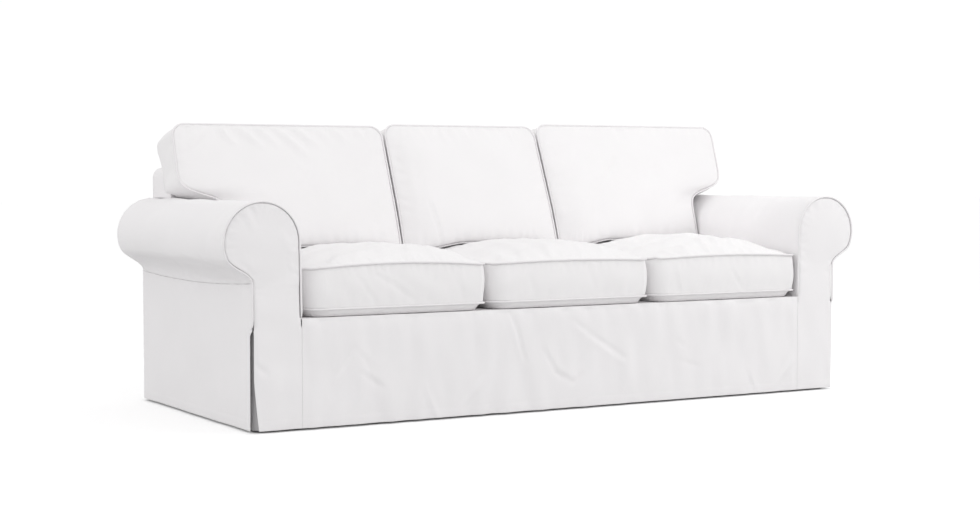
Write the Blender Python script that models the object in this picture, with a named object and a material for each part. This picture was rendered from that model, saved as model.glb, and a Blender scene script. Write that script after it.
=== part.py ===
"""Sofa slipcover: a loose white cotton cover for a three-seat sofa with rolled arms.

The cover is hollow and open at the floor. +X is to the sofa's own left, the front faces -Y,
and the hem lies at z = 0 with the origin at the middle of the footprint. All units are metres.
"""
import math

import bmesh
import bpy
import numpy as np

# ---- driving dimensions ----------------------------------------------------------------------
CLOTH = 0.0025                # thickness of the cotton cloth with its seam allowances
GAP = 0.0003                  # clearance between two pieces that touch
FRONT_Y = -0.430              # plane of the arm fronts and the front skirt
REAR_Y = 0.430                # plane of the outside back
SIDE_X = 1.010                # side panels at the hem
ARM_INNER_X = 0.865           # inner face of each arm at the seat
ARM_INNER_TOP_X = 0.8688      # the same face where the roll begins
ROLL_X = 0.9795               # centre of the roll
ROLL_Z = 0.506
ROLL_RADIUS = 0.1107
ROLL_END_CROWN = 0.005        # swell of the arm front over the end of the roll
ROLL_STEP = math.radians(11.25)
ROLL_ARC_STEPS = 18           # the round stretch of the roll, from inside over the top
UNDER_ROLL_STEPS = 6          # the stretch from the round down to the seam under the roll
SIDE_SINK = 0.003             # how far a side panel falls in at its middle
SEAM_X = 1.0095
SEAM_Z = 0.398                # seam under the roll at the front of the arm
SEAM_SAG = 0.0135             # how far that seam dips half way back
SEAM_FALL = 0.004             # how much lower it ends at the rear
DECK_Z = 0.299                # upper face of the seat deck and top of the front skirt
BACK_TOP_Z = 0.709
BACK_HALF_WIDTH = 0.975
BACK_CORNER_RADIUS = 0.028
LEAN = 0.325                  # backward lean of the inside back, run over rise
INSIDE_BACK_Y = 0.212         # front face of the inside back at the height below
LEAN_Z = 0.444
SLIT_TOP_Z = 0.272            # height of the open corner slits of the skirt
SLIT_FLARE_Z = 0.140          # below this the cloth on the end of the arm swings away as well
NARROW_TOP_Z = 0.348          # the arm's side comes in a little up to here
PIPING_RADIUS = 0.0028
PIPING_SIDES = 6
PIPING_CLEAR = PIPING_RADIUS + 2 * GAP     # axis of a piping cord, out from its cushion's seam
ARM_PIPING_Y = FRONT_Y + 0.0008            # axis of the cord round an arm front
ARM_PIPING_INSET = 0.0005                  # the same axis, in from the face of the roll
PIPED_EDGE_Y = ARM_PIPING_Y + PIPING_RADIUS + 0.0005   # where the cloth behind that cord ends
ARM_EDGE = ARM_PIPING_INSET + PIPING_RADIUS + GAP      # edge of an arm front inside its cord
REAR_EDGE_Y = REAR_Y - CLOTH - GAP         # where the cloth in front of the rear panels ends

COTTON = {"colour": (0.86, 0.85, 0.85, 1.0), "roughness": 0.9}
COTTON_SHADED = {"colour": (0.80, 0.79, 0.80, 1.0), "roughness": 0.92}
CORD_COTTON = {"colour": (0.83, 0.82, 0.82, 1.0), "roughness": 0.85}

# seat cushions, viewer's left to right: edges of the piping, rise of the top seam at mid width,
# height of the crown's crest above the seam, and how squarely the crown falls at the right side
SEAT_COLUMNS = ("name", "x_left", "x_right", "arch", "crown", "power", "soften")
SEAT_ROWS = (
    ("left", -0.8505, -0.2835, 0.012, 0.048, 5.0, 0.55),
    ("middle", -0.2700, 0.2860, 0.006, 0.053, 3.6, 0.65),
    ("right", 0.3020, 0.8585, 0.008, 0.056, 3.0, 0.75),
)
# back cushions: edges at the seat and at the top, height of the top seam, side with the ear, how
# much higher the ear sits, and how squarely the crown starts at the left side
BACK_COLUMNS = ("name", "left_low", "left_top", "right_low", "right_top", "top_z", "ear", "ear_lift",
                "fullness")
BACK_ROWS = (
    ("left", -0.862, -0.862, -0.289, -0.303, 0.842, "left", 0.004, 2.8),
    ("middle", -0.283, -0.297, 0.287, 0.263, 0.848, "none", 0.000, 4.5),
    ("right", 0.293, 0.269, 0.862, 0.862, 0.856, "right", 0.010, 4.5),
)
# folds: crest from (x, height) to (x, height) on an upright cloth, or (x, y) on a seat
FOLD_COLUMNS = ("x_from", "z_from", "x_to", "z_to", "half_width", "height")
SKIRT_FOLDS = (
    (-0.840, 0.000, -0.820, 0.110, 0.030, 0.0035),
    (-0.755, 0.000, -0.740, 0.150, 0.034, 0.0040),
    (-0.640, 0.000, -0.700, 0.140, 0.040, 0.0045),
    (-0.500, 0.000, -0.490, 0.120, 0.036, 0.0040),
    (-0.361, 0.000, -0.298, 0.110, 0.034, 0.0050),
    (-0.208, 0.289, -0.140, 0.110, 0.030, 0.0050),
    (0.016, 0.260, 0.192, 0.130, 0.032, 0.0045),
    (-0.088, 0.170, 0.010, 0.070, 0.030, 0.0040),
    (0.300, 0.000, 0.320, 0.140, 0.050, 0.0030),
    (0.676, 0.000, 0.660, 0.080, 0.030, 0.0040),
    (0.783, 0.000, 0.839, 0.095, 0.030, 0.0040),
)
BACK_FOLDS = (
    (-0.880, 0.830, -0.935, 0.770, 0.024, 0.0045),
    (-0.740, 0.832, -0.690, 0.770, 0.024, 0.0045),
    (-0.610, 0.832, -0.540, 0.765, 0.026, 0.0050),
    (-0.450, 0.834, -0.430, 0.790, 0.026, 0.0030),
    (-0.600, 0.711, -0.630, 0.665, 0.026, 0.0040),
    (-0.192, 0.610, -0.157, 0.500, 0.034, 0.0060),
    (0.544, 0.754, 0.485, 0.680, 0.030, 0.0050),
    (0.600, 0.846, 0.610, 0.800, 0.035, -0.0060),
    (0.820, 0.620, 0.700, 0.560, 0.040, 0.0040),
)
SEAT_FOLDS = (
    (-0.700, -0.410, -0.660, -0.330, 0.030, 0.0040),
    (-0.520, -0.410, -0.470, -0.300, 0.034, -0.0040),
    (-0.380, -0.400, -0.340, -0.200, 0.036, -0.0040),
    (-0.160, -0.410, -0.080, -0.320, 0.034, 0.0035),
    (0.120, -0.410, 0.200, -0.300, 0.034, -0.0035),
    (0.440, -0.410, 0.500, -0.300, 0.032, 0.0045),
    (0.570, -0.410, 0.640, -0.300, 0.032, 0.0045),
    (0.700, -0.410, 0.780, -0.310, 0.032, 0.0045),
)
# corner slits of the skirt: side (-1 left), end (-1 front), and how far the side panel and the
# panel on the end of the arm stand back from the corner at the hem
SLIT_COLUMNS = ("name", "side", "end", "side_open", "end_open")
SLIT_ROWS = (
    ("front_left", -1, -1, 0.015, 0.015),
    ("front_right", 1, -1, 0.008, 0.002),
    ("rear_left", -1, 1, 0.001, 0.005),
    ("rear_right", 1, 1, 0.004, 0.003),
)
SIDES = (("left", -1), ("right", 1))


def table(columns, rows):
    """Rows of a table as dictionaries keyed by the column names."""
    return [dict(zip(columns, row)) for row in rows]


def clear_scene():
    """Start from an empty scene."""
    for scene_object in list(bpy.data.objects):
        bpy.data.objects.remove(scene_object, do_unlink=True)


def cloth_material(name, finish):
    """One Principled material for one piece."""
    material = bpy.data.materials.new(name)
    material.use_nodes = True
    shader = material.node_tree.nodes["Principled BSDF"]
    shader.inputs["Base Color"].default_value = finish["colour"]
    shader.inputs["Roughness"].default_value = finish["roughness"]
    shader.inputs["Metallic"].default_value = 0.0
    return material


def add_piece(name, vertices, faces, finish):
    """A closed mesh object with its faces turned outwards."""
    mesh = bpy.data.meshes.new(name)
    mesh.from_pydata([tuple(float(c) for c in vertex) for vertex in vertices], [], faces)
    work = bmesh.new()
    work.from_mesh(mesh)
    bmesh.ops.recalc_face_normals(work, faces=work.faces)
    work.to_mesh(mesh)
    work.free()
    mesh.shade_smooth()
    mesh.set_sharp_from_angle(angle=math.radians(40.0))
    piece = bpy.data.objects.new(name, mesh)
    piece.data.materials.append(cloth_material(name + "_cloth", finish))
    bpy.context.collection.objects.link(piece)
    return piece


def grid_faces(rows, columns, start=0, flip=False):
    """Quads between the points of a rows by columns grid that starts at a vertex index."""
    faces = []
    for row in range(rows - 1):
        for column in range(columns - 1):
            corner = start + row * columns + column
            quad = (corner, corner + 1, corner + columns + 1, corner + columns)
            faces.append(quad[::-1] if flip else quad)
    return faces


def rim_indices(rows, columns, start=0):
    """Vertex indices round the border of a grid, once round."""
    lower = [start + column for column in range(columns)]
    right = [start + row * columns + columns - 1 for row in range(1, rows)]
    upper = [start + (rows - 1) * columns + column for column in range(columns - 2, -1, -1)]
    left = [start + row * columns for row in range(rows - 2, 0, -1)]
    return lower + right + upper + left


def bridge_faces(loop_a, loop_b):
    """Quads between two closed loops of equal length."""
    count = len(loop_a)
    return [
        (loop_a[k], loop_b[k], loop_b[(k + 1) % count], loop_a[(k + 1) % count])
        for k in range(count)
    ]


def sheet_piece(name, outer, inner, finish):
    """A sheet of cloth: an outer and an inner grid of points, closed along the four edges."""
    rows, columns = outer.shape[:2]
    offset = rows * columns
    vertices = np.concatenate([outer.reshape(-1, 3), inner.reshape(-1, 3)])
    faces = grid_faces(rows, columns)
    faces += grid_faces(rows, columns, offset, flip=True)
    faces += bridge_faces(rim_indices(rows, columns), rim_indices(rows, columns, offset))
    return add_piece(name, vertices, faces, finish)


def plate_piece(name, outline, y_outer, y_inner, finish):
    """A flat upright panel: an outline of (x, z) points between two planes of constant y."""
    count = len(outline)
    vertices = [(x, y_outer, z) for x, z in outline] + [(x, y_inner, z) for x, z in outline]
    faces = [tuple(range(count)), tuple(range(2 * count - 1, count - 1, -1))]
    faces += bridge_faces(list(range(count)), list(range(count, 2 * count)))
    return add_piece(name, vertices, faces, finish)


def path_normals(path, closed):
    """Unit tangents of a path, each the average of the two stretches that meet there."""
    if closed:
        ahead = np.roll(path, -1, axis=0) - path
        behind = path - np.roll(path, 1, axis=0)
    else:
        steps = np.diff(path, axis=0)
        ahead = np.concatenate([steps, steps[-1:]])
        behind = np.concatenate([steps[:1], steps])
    ahead = ahead / np.linalg.norm(ahead, axis=1, keepdims=True)
    behind = behind / np.linalg.norm(behind, axis=1, keepdims=True)
    tangent = ahead + behind
    return tangent / np.linalg.norm(tangent, axis=1, keepdims=True)


def piping_piece(name, path, plane_normal, closed=True, radius=PIPING_RADIUS):
    """A piping cord: a many-sided tube along a nearly flat path."""
    path = np.asarray(path, float)
    tangent = path_normals(path, closed)
    across = np.cross(tangent, plane_normal)
    across = across / np.linalg.norm(across, axis=1, keepdims=True)
    upright = np.cross(across, tangent)
    angles = np.arange(PIPING_SIDES) * 2.0 * math.pi / PIPING_SIDES
    rings = (
        path[:, None, :]
        + radius * np.cos(angles)[None, :, None] * across[:, None, :]
        + radius * np.sin(angles)[None, :, None] * upright[:, None, :]
    )
    count = len(path)
    last = count if closed else count - 1
    faces = []
    for ring in range(last):
        here = [ring * PIPING_SIDES + k for k in range(PIPING_SIDES)]
        there = [((ring + 1) % count) * PIPING_SIDES + k for k in range(PIPING_SIDES)]
        faces += bridge_faces(here, there)
    if not closed:
        faces.append(tuple(range(PIPING_SIDES)))
        faces.append(tuple(range((count - 1) * PIPING_SIDES, count * PIPING_SIDES)))
    return add_piece(name, rings.reshape(-1, 3), faces, CORD_COTTON)


def fold_relief(rows, x, z):
    """Height of the cloth over its plane: the sum of soft ridges along straight crests."""
    relief = np.zeros_like(x)
    for fold in table(FOLD_COLUMNS, rows):
        start = np.array([fold["x_from"], fold["z_from"]])
        run = np.array([fold["x_to"], fold["z_to"]]) - start
        along = ((x - start[0]) * run[0] + (z - start[1]) * run[1]) / (run @ run)
        nearest = np.clip(along, 0.0, 1.0)
        distance = np.hypot(x - start[0] - nearest * run[0], z - start[1] - nearest * run[1])
        relief = relief + fold["height"] * np.exp(-((distance / fold["half_width"]) ** 2))
    return relief


# ---- the rolled arm --------------------------------------------------------------------------
def seam_drop(y):
    """Height of the seam under the roll at a depth y; it dips half way back."""
    across = (y - FRONT_Y) / (REAR_Y - FRONT_Y)
    return SEAM_Z - SEAM_SAG * 4.0 * across * (1.0 - across) - SEAM_FALL * across


def crease_lift(y):
    """How far above the seam the cloth turns down under the roll: higher towards the rear."""
    rise = np.clip((y + 0.200) / 0.180, 0.0, 1.0) * np.clip((0.420 - y) / 0.120, 0.0, 1.0)
    return 0.027 + 0.024 * rise * rise * (3.0 - 2.0 * rise)


def arm_curve(y, base_z=DECK_Z):
    """Section of an arm at depth y, from the seat up the inside, over the roll to the seam.

    Straight up the inner face, a round stretch from the inside over the top to the outer side,
    then one cubic curve that draws in under the roll and turns down at the seam.
    """
    inner = [(ARM_INNER_X, base_z)]
    for share in (0.35, 0.70):
        inner.append((
            ARM_INNER_X + share * (ARM_INNER_TOP_X - ARM_INNER_X),
            base_z + share * (ROLL_Z - base_z),
        ))
    angles = math.pi - ROLL_STEP * np.arange(ROLL_ARC_STEPS + 1)
    arc = np.stack([ROLL_X + ROLL_RADIUS * np.cos(angles), ROLL_Z + ROLL_RADIUS * np.sin(angles)], 1)
    leaving = np.array([math.sin(angles[-1]), -math.cos(angles[-1])])
    seam = np.array([SEAM_X, seam_drop(y)])
    pulled = arc[-1] + 0.030 * leaving
    above = seam + np.array([0.0, crease_lift(y)])
    t = (np.arange(1, UNDER_ROLL_STEPS + 1) / UNDER_ROLL_STEPS)[:, None]
    under = (
        (1 - t) ** 3 * arc[-1]
        + 3 * (1 - t) ** 2 * t * pulled
        + 3 * (1 - t) * t ** 2 * above
        + t ** 3 * seam
    )
    return np.concatenate([np.array(inner), arc, under])


def offset_curve(curve, inward):
    """The same section moved square to itself, towards the inside of the arm."""
    steps = np.diff(curve, axis=0)
    steps = steps / np.linalg.norm(steps, axis=1, keepdims=True)
    normals = np.stack([steps[:, 1], -steps[:, 0]], 1)
    joined = np.concatenate([normals[:1], normals[:-1] + normals[1:], normals[-1:]])
    joined = joined / np.linalg.norm(joined, axis=1, keepdims=True)
    return curve + inward * joined


def arm_section_grid(y_values, inward, side, base_z):
    """Sections of the arm at several depths, as one grid of points."""
    sections = []
    for y in y_values:
        curve = offset_curve(arm_curve(y, base_z), inward)
        sections.append(np.stack([side * curve[:, 0], np.full(len(curve), y), curve[:, 1]], 1))
    return np.array(sections)


def build_arm_roll(name, side):
    """Cloth from the seat up the inside of the arm and over the roll, to the seam below it."""
    y_values = np.linspace(PIPED_EDGE_Y, REAR_EDGE_Y, 11)
    base_z = DECK_Z - CLOTH
    outer = arm_section_grid(y_values, 0.0, side, base_z)
    inner = arm_section_grid(y_values, CLOTH, side, base_z)
    return sheet_piece("arm_roll_" + name, outer, inner, COTTON)


def slit_gape(z, side, end, panel):
    """How far an edge stands back from its corner at height z, nothing above the slit.

    A side panel falls back at once below the top of the slit, and an end panel flares low down.
    """
    start = np.clip((SLIT_TOP_Z - z) / 0.012, 0.0, 1.0)
    for slit in table(SLIT_COLUMNS, SLIT_ROWS):
        if (slit["side"], slit["end"]) == (side, end):
            if panel == "side":
                return slit["side_open"] * start
            flare = np.clip(1.0 - z / SLIT_FLARE_Z, 0.0, 1.0) ** 1.2
            return slit["end_open"] * (0.08 * start + 0.92 * flare)
    return 0.0 * z


LOW_LEVELS = (0.0, 0.05, 0.11, 0.17, 0.23, 0.27)


def arm_inner_x(z):
    """Inner face of an arm at height z: upright to the seat, then leaning out to the roll."""
    share = np.clip((z - DECK_Z) / (ROLL_Z - DECK_Z), 0.0, 1.0)
    return ARM_INNER_X + share * (ARM_INNER_TOP_X - ARM_INNER_X)


def arm_outer_x(z):
    """Outer face of an arm below the roll at height z."""
    return SIDE_X - (SIDE_X - SEAM_X) * np.clip(z / NARROW_TOP_Z, 0.0, 1.0)


def arm_face_levels(edge):
    """Height, inner x and outer x of an arm end panel, from the floor to the top of the roll.

    edge is how far the outline lies inside the face of the roll.
    """
    curve = offset_curve(arm_curve(FRONT_Y), edge)
    half_round = 8                         # steps from the widest point of the roll to its top
    top = len(curve) - 1 - UNDER_ROLL_STEPS - (ROLL_ARC_STEPS - half_round)
    levels = []
    for z in LOW_LEVELS + (DECK_Z - 0.001,):
        levels.append((z, ARM_INNER_X, arm_outer_x(z) - edge))
    for z in (DECK_Z + 0.0005, NARROW_TOP_Z):
        levels.append((z, arm_inner_x(z) + edge, arm_outer_x(z) - edge))
    for x, z in curve[:top + half_round - 1:-1]:
        levels.append((z, arm_inner_x(z) + edge, x))
    for x_inner, z in curve[top - half_round + 1:top]:
        levels.append((z, x_inner, 2 * ROLL_X - x_inner))
    levels.append((curve[top][1] - 0.0004, ROLL_X - 0.004, ROLL_X + 0.004))
    return levels


def build_arm_front(name, side):
    """Scroll-shaped front of an arm, lightly crowned over the round of the roll."""
    columns = np.linspace(0.0, 1.0, 6)
    rows = []
    for z, x_inner, x_outer in arm_face_levels(ARM_EDGE):
        x_edge = x_outer - slit_gape(z, side, -1, "end")
        x = x_inner + columns * (x_edge - x_inner)
        from_centre = np.hypot(x - ROLL_X, z - ROLL_Z) / ROLL_RADIUS
        crown = ROLL_END_CROWN * np.clip(1.0 - from_centre ** 2, 0.0, 1.0)
        y = FRONT_Y - crown
        rows.append(np.stack([side * x, y, np.full(len(x), z)], 1))
    outer = np.array(rows)
    inner = outer + np.array([0.0, CLOTH, 0.0])
    return sheet_piece("arm_front_" + name, outer, inner, COTTON)


def build_arm_piping(name, side):
    """Piping cord round the arm front, from the seat over the roll to the top of the slit."""
    curve = offset_curve(arm_curve(FRONT_Y, DECK_Z + 0.001), ARM_PIPING_INSET)
    tail_z = np.linspace(SEAM_Z, SLIT_TOP_Z + 0.004, 6)[1:]
    tail = np.stack([np.full(len(tail_z), SEAM_X - ARM_PIPING_INSET), tail_z], 1)
    outline = np.concatenate([curve, tail])
    depth = np.full(len(outline), ARM_PIPING_Y)
    path = np.stack([side * outline[:, 0], depth, outline[:, 1]], 1)
    return piping_piece("arm_piping_" + name, path, (0.0, 1.0, 0.0), closed=False)


def build_side_panel(name, side):
    """Side of the arm below the seam, with its two edges standing back along the slits."""
    columns = np.linspace(0.0, 1.0, 9)
    rows = []
    for share in (0.0, 0.15, 0.32, 0.50, 0.655, 0.687, 0.85, 1.0):
        z_edge = share * (SEAM_Z - 2 * GAP)
        y_front = PIPED_EDGE_Y + slit_gape(z_edge, side, -1, "side")
        y_rear = REAR_EDGE_Y - slit_gape(z_edge, side, 1, "side")
        y = y_front + columns * (y_rear - y_front)
        z = share * (seam_drop(y) - 2 * GAP)
        sink = SIDE_SINK * np.sin(math.pi * share) * np.sin(math.pi * columns) ** 0.5
        x = arm_outer_x(z) - sink
        rows.append(np.stack([side * x, y, z], 1))
    outer = np.array(rows)
    inner = outer - np.array([side * CLOTH, 0.0, 0.0])
    return sheet_piece("side_panel_" + name, outer, inner, COTTON)


UNDERLAY_REACH = 0.075        # width of an underlay to each side of its corner
UNDERLAY_RADIUS = 0.050       # how roundly it turns in behind the corner
UNDERLAY_OVER = 0.012         # how far it reaches above the top of its slit


def build_underlay(slit):
    """Strip behind a corner slit, cutting the corner in a round turn like an inverted pleat."""
    face_x = SIDE_X - CLOTH - 0.004
    face_y = REAR_EDGE_Y - GAP
    turn = np.linspace(0.0, 0.5 * math.pi, 6)
    arc = np.stack([
        face_x - UNDERLAY_RADIUS * (1.0 - np.sin(turn)),
        face_y - UNDERLAY_RADIUS * (1.0 - np.cos(turn)),
    ], 1)
    start = (face_x - UNDERLAY_REACH, face_y)
    end = (face_x, face_y - UNDERLAY_REACH)
    section = np.concatenate([[start], arc, [end]])
    rows_outer = []
    rows_inner = []
    for share in (0.0, 0.5, 1.0):
        z = share * (SLIT_TOP_Z + UNDERLAY_OVER)
        for rows, curve in ((rows_outer, section), (rows_inner, offset_curve(section, CLOTH))):
            x = slit["side"] * curve[:, 0]
            y = slit["end"] * curve[:, 1]
            rows.append(np.stack([x, y, np.full(len(curve), z)], 1))
    name = "underlay_" + slit["name"]
    return sheet_piece(name, np.array(rows_outer), np.array(rows_inner), COTTON_SHADED)


# ---- skirt, deck and back --------------------------------------------------------------------
def build_front_skirt():
    """Front panel between the arm fronts, from the seat edge to the floor, softly folded."""
    half = ARM_INNER_X - GAP
    x = np.linspace(-half, half, 46)[None, :]
    z = np.array([0.0, 0.036, 0.075, 0.115, 0.160, 0.205, 0.250, DECK_Z])[:, None]
    x, z = np.broadcast_arrays(x, z)
    held = np.clip((half - np.abs(x)) / 0.03, 0.0, 1.0) * np.clip((DECK_Z - z) / 0.02, 0.0, 1.0)
    relief = fold_relief(SKIRT_FOLDS, x, z) * held
    outer = np.stack([x, FRONT_Y - relief, z], 2)
    inner = outer + np.array([0.0, CLOTH, 0.0])
    return sheet_piece("front_skirt", outer, inner, COTTON)


def inside_back_y(z):
    """Depth of the leaning front face of the inside back at height z."""
    return INSIDE_BACK_Y + LEAN * (z - LEAN_Z)


def build_seat_deck():
    """Flat cloth that the seat cushions lie on."""
    half = ARM_INNER_X - GAP
    x = np.linspace(-half, half, 7)[None, :]
    y_rear = inside_back_y(DECK_Z - CLOTH) - GAP
    y = np.linspace(FRONT_Y + CLOTH + GAP, y_rear, 4)[:, None]
    x, y = np.broadcast_arrays(x, y)
    outer = np.stack([x, y, np.full(x.shape, DECK_Z)], 2)
    inner = outer - np.array([0.0, 0.0, CLOTH])
    return sheet_piece("seat_deck", outer, inner, COTTON_SHADED)


def back_edge(base_z):
    """Half outline of the back at its sides: up between the arms, over the roll and out."""
    clear = 2 * GAP
    edge = [(ARM_INNER_X - GAP, base_z)]
    if base_z < DECK_Z - CLOTH:
        edge.append((ARM_INNER_X - GAP, DECK_Z - CLOTH))
    for step in range(8):
        angle = math.pi - step * ROLL_STEP
        edge.append((
            ROLL_X + (ROLL_RADIUS + clear) * math.cos(angle),
            ROLL_Z + (ROLL_RADIUS + clear) * math.sin(angle),
        ))
    edge.append((BACK_HALF_WIDTH, ROLL_Z + ROLL_RADIUS + clear))
    return edge


def back_corner():
    """Half outline of the back's upper corner, from its side round to its top."""
    centre_x = BACK_HALF_WIDTH - BACK_CORNER_RADIUS
    centre_z = BACK_TOP_Z - BACK_CORNER_RADIUS
    angles = np.linspace(0.0, 0.5 * math.pi, 5)
    return [
        (centre_x + BACK_CORNER_RADIUS * math.cos(a), centre_z + BACK_CORNER_RADIUS * math.sin(a))
        for a in angles
    ]


def build_inside_back():
    """Leaning panel behind the back cushions, wider above the arms."""
    rows = []
    for x_edge, z in back_edge(DECK_Z - CLOTH) + back_corner():
        x = np.linspace(-x_edge, x_edge, 6)
        y = np.full(len(x), inside_back_y(z))
        rows.append(np.stack([x, y, np.full(len(x), z)], 1))
    outer = np.array(rows)
    inner = outer + np.array([0.0, CLOTH * math.hypot(1.0, LEAN), 0.0])
    return sheet_piece("inside_back", outer, inner, COTTON)


def build_outside_back():
    """Flat rear panel between the arms, wider above them."""
    half = back_edge(0.0) + back_corner()
    mirrored = [(-x, z) for x, z in reversed(half)]
    return plate_piece("outside_back", half + mirrored, REAR_Y, REAR_Y - CLOTH, COTTON)


def build_back_band():
    """Strip over the top of the back and down its two ends to the arms."""
    base = (BACK_HALF_WIDTH, ROLL_Z + ROLL_RADIUS + 2 * GAP)
    half = np.array([base, (BACK_HALF_WIDTH, 0.650)] + back_corner() + [(0.6, BACK_TOP_Z)])
    mirrored = half[::-1] * np.array([-1.0, 1.0])
    outline = np.concatenate([half, [(0.2, BACK_TOP_Z), (-0.2, BACK_TOP_Z)], mirrored])
    rows_outer = []
    rows_inner = []
    cloth_depth = CLOTH * math.hypot(1.0, LEAN) + GAP
    for share in (0.0, 0.33, 0.66, 1.0):
        for rows, curve in ((rows_outer, outline), (rows_inner, offset_curve(outline, -CLOTH))):
            y_front = inside_back_y(curve[:, 1]) + cloth_depth
            y = y_front + share * (REAR_EDGE_Y - y_front)
            rows.append(np.stack([curve[:, 0], y, curve[:, 1]], 1))
    return sheet_piece("back_band", np.array(rows_outer), np.array(rows_inner), COTTON)


def build_arm_back(name, side):
    """Rear end of an arm, the same scroll as the front."""
    levels = arm_face_levels(0.0)
    inner = [(x_inner, z) for z, x_inner, x_outer in levels]
    outer = [(x_outer - slit_gape(z, side, 1, "end"), z) for z, x_inner, x_outer in levels]
    outline = [(side * x, z) for x, z in inner + outer[::-1]]
    return plate_piece("arm_back_" + name, outline, REAR_Y, REAR_Y - CLOTH, COTTON)


# ---- cushions --------------------------------------------------------------------------------
SEAT_FRONT_Y = FRONT_Y + PIPING_CLEAR + PIPING_RADIUS
SEAT_REAR_TOP_Y = 0.190
SEAT_REAR_BASE_Y = 0.158
SEAT_TOP_Z = 0.4315           # upper seam
SEAT_BASE_Z = 0.3206          # lower seam
SEAT_REST_Z = 0.466           # the back cushions press the rear of the seat down to here
SEAT_CORNER = 0.040           # corners on the left, seen from above
SEAT_CORNER_RIGHT = 0.014
BOXING_BULGE = 0.005
CUSHION_ROWS = 12
CUSHION_COLUMNS = 15
UNDER_CROWN = 0.060           # how far the underside would swell if the deck were not there
BACK_REST_Z = 0.4725          # lower seam of the back cushions
BACK_FRONT_Y = 0.075          # front seam of the back cushions at LEAN_Z
BACK_THICK = 0.118            # front seam to rear seam, front to back
BACK_THICK_TOP = 0.142        # the same at the top, where nothing behind holds the cushion in
BACK_TILT = 0.036             # the rear seam lies lower: the cushion is cut square to its lean
BACK_CORNER = 0.034
BACK_CROWN = 0.040
EAR_DROOP = 0.020             # how much lower the rear of an ear hangs at its outer corner
FOOT_SINK = 0.028             # how far a back cushion may sink where a seat cushion is low
BACK_SAG = 0.7                # under 1, the fullest place of a back cushion lies below its middle
# outer edge of an outer back cushion as (x, z), from the seat up round the arm to the ear
EAR_ROWS = (
    (0.862, 0.4900), (0.860, 0.5700), (0.865, 0.5950), (0.882, 0.6150), (0.920, 0.6280),
    (0.960, 0.6390), (0.983, 0.6500), (0.997, 0.6680), (1.001, 0.6900), (1.001, 0.7420),
    (1.001, 0.8000),
)


def ease(value, power, soften):
    """A crown's rise from a seam: steep at the seam, level in the middle."""
    return np.clip(1.0 - np.abs(value) ** power, 0.0, 1.0) ** soften


def seat_swell(u, v, row):
    """The crown of a seat cushion: a long slope on the left, fuller on the right."""
    across = ease(u, np.where(u < 0.0, 1.6, row["power"]), np.where(u < 0.0, 1.2, row["soften"]))
    return across * ease(v, 3.0, 0.75)


def rounded_span(count, half, radius):
    """Stations from -half to half, closer together inside the rounded corners."""
    corner = half - radius * np.array([0.0, 0.3, 1.0])
    middle = np.linspace(-half + radius, half - radius, count - 4)[1:-1]
    return np.concatenate([-corner, middle, corner[::-1]])


def corner_cut(distance, radius):
    """How far a rounded corner draws the edge in, at a distance from the corner."""
    inside = np.clip(1.0 - distance / radius, 0.0, 1.0)
    return radius * (1.0 - np.sqrt(1.0 - inside ** 2))


def cushion_piece(name, face, rings, back_face, finish=COTTON):
    """A filled cushion: two crowned faces and the boxing between them, as one closed solid."""
    rows, columns = face.shape[:2]
    count = rows * columns
    border = rim_indices(rows, columns)
    vertices = [face.reshape(-1, 3)]
    faces = grid_faces(rows, columns)
    loop = border
    start = count
    for ring in rings:
        vertices.append(ring)
        following = list(range(start, start + len(ring)))
        faces += bridge_faces(loop, following)
        loop = following
        start += len(ring)
    vertices.append(back_face.reshape(-1, 3))
    faces += bridge_faces(loop, [start + index for index in border])
    faces += grid_faces(rows, columns, start, flip=True)
    return add_piece(name, np.concatenate(vertices), faces, finish)


def border_points(grid):
    """The points round the border of a grid, once round."""
    rows, columns = grid.shape[:2]
    return grid.reshape(-1, 3)[rim_indices(rows, columns)]


def outward_step(loop, plane_axis):
    """Unit vectors square to a loop, away from its middle, in the plane of the loop."""
    tangent = path_normals(loop, True)
    outward = np.cross(tangent, plane_axis)
    outward = outward / np.linalg.norm(outward, axis=1, keepdims=True)
    away = np.sum(outward * (loop - loop.mean(axis=0)), axis=1).sum()
    return outward if away > 0 else -outward


def boxing_rings(upper, lower, plane_axis, bulge):
    """Rings of the boxing between two seams, swelling a little between them."""
    rings = []
    outward = outward_step(upper, plane_axis)
    for share in (0.25, 0.5, 0.75):
        swell = bulge * math.sin(math.pi * share)
        rings.append(upper + share * (lower - upper) + swell * outward)
    return rings


def seat_outline_grid(x_left, x_right, y_front, y_rear):
    """A grid over a rectangle with rounded corners: rows across, from front to rear."""
    half_x = 0.5 * (x_right - x_left)
    half_y = 0.5 * (y_rear - y_front)
    y = rounded_span(CUSHION_ROWS, half_y, SEAT_CORNER)
    base = rounded_span(CUSHION_COLUMNS, half_x, SEAT_CORNER)[None, :]
    radius = np.where(base < 0.0, SEAT_CORNER, SEAT_CORNER_RIGHT)
    draw_x = corner_cut((half_y - np.abs(y))[:, None], radius)
    x = base * (half_x - draw_x) / half_x
    y_grid = np.broadcast_to(y[:, None], x.shape)
    return 0.5 * (x_left + x_right) + x, 0.5 * (y_front + y_rear) + y_grid, x / half_x, y_grid / half_y


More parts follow.
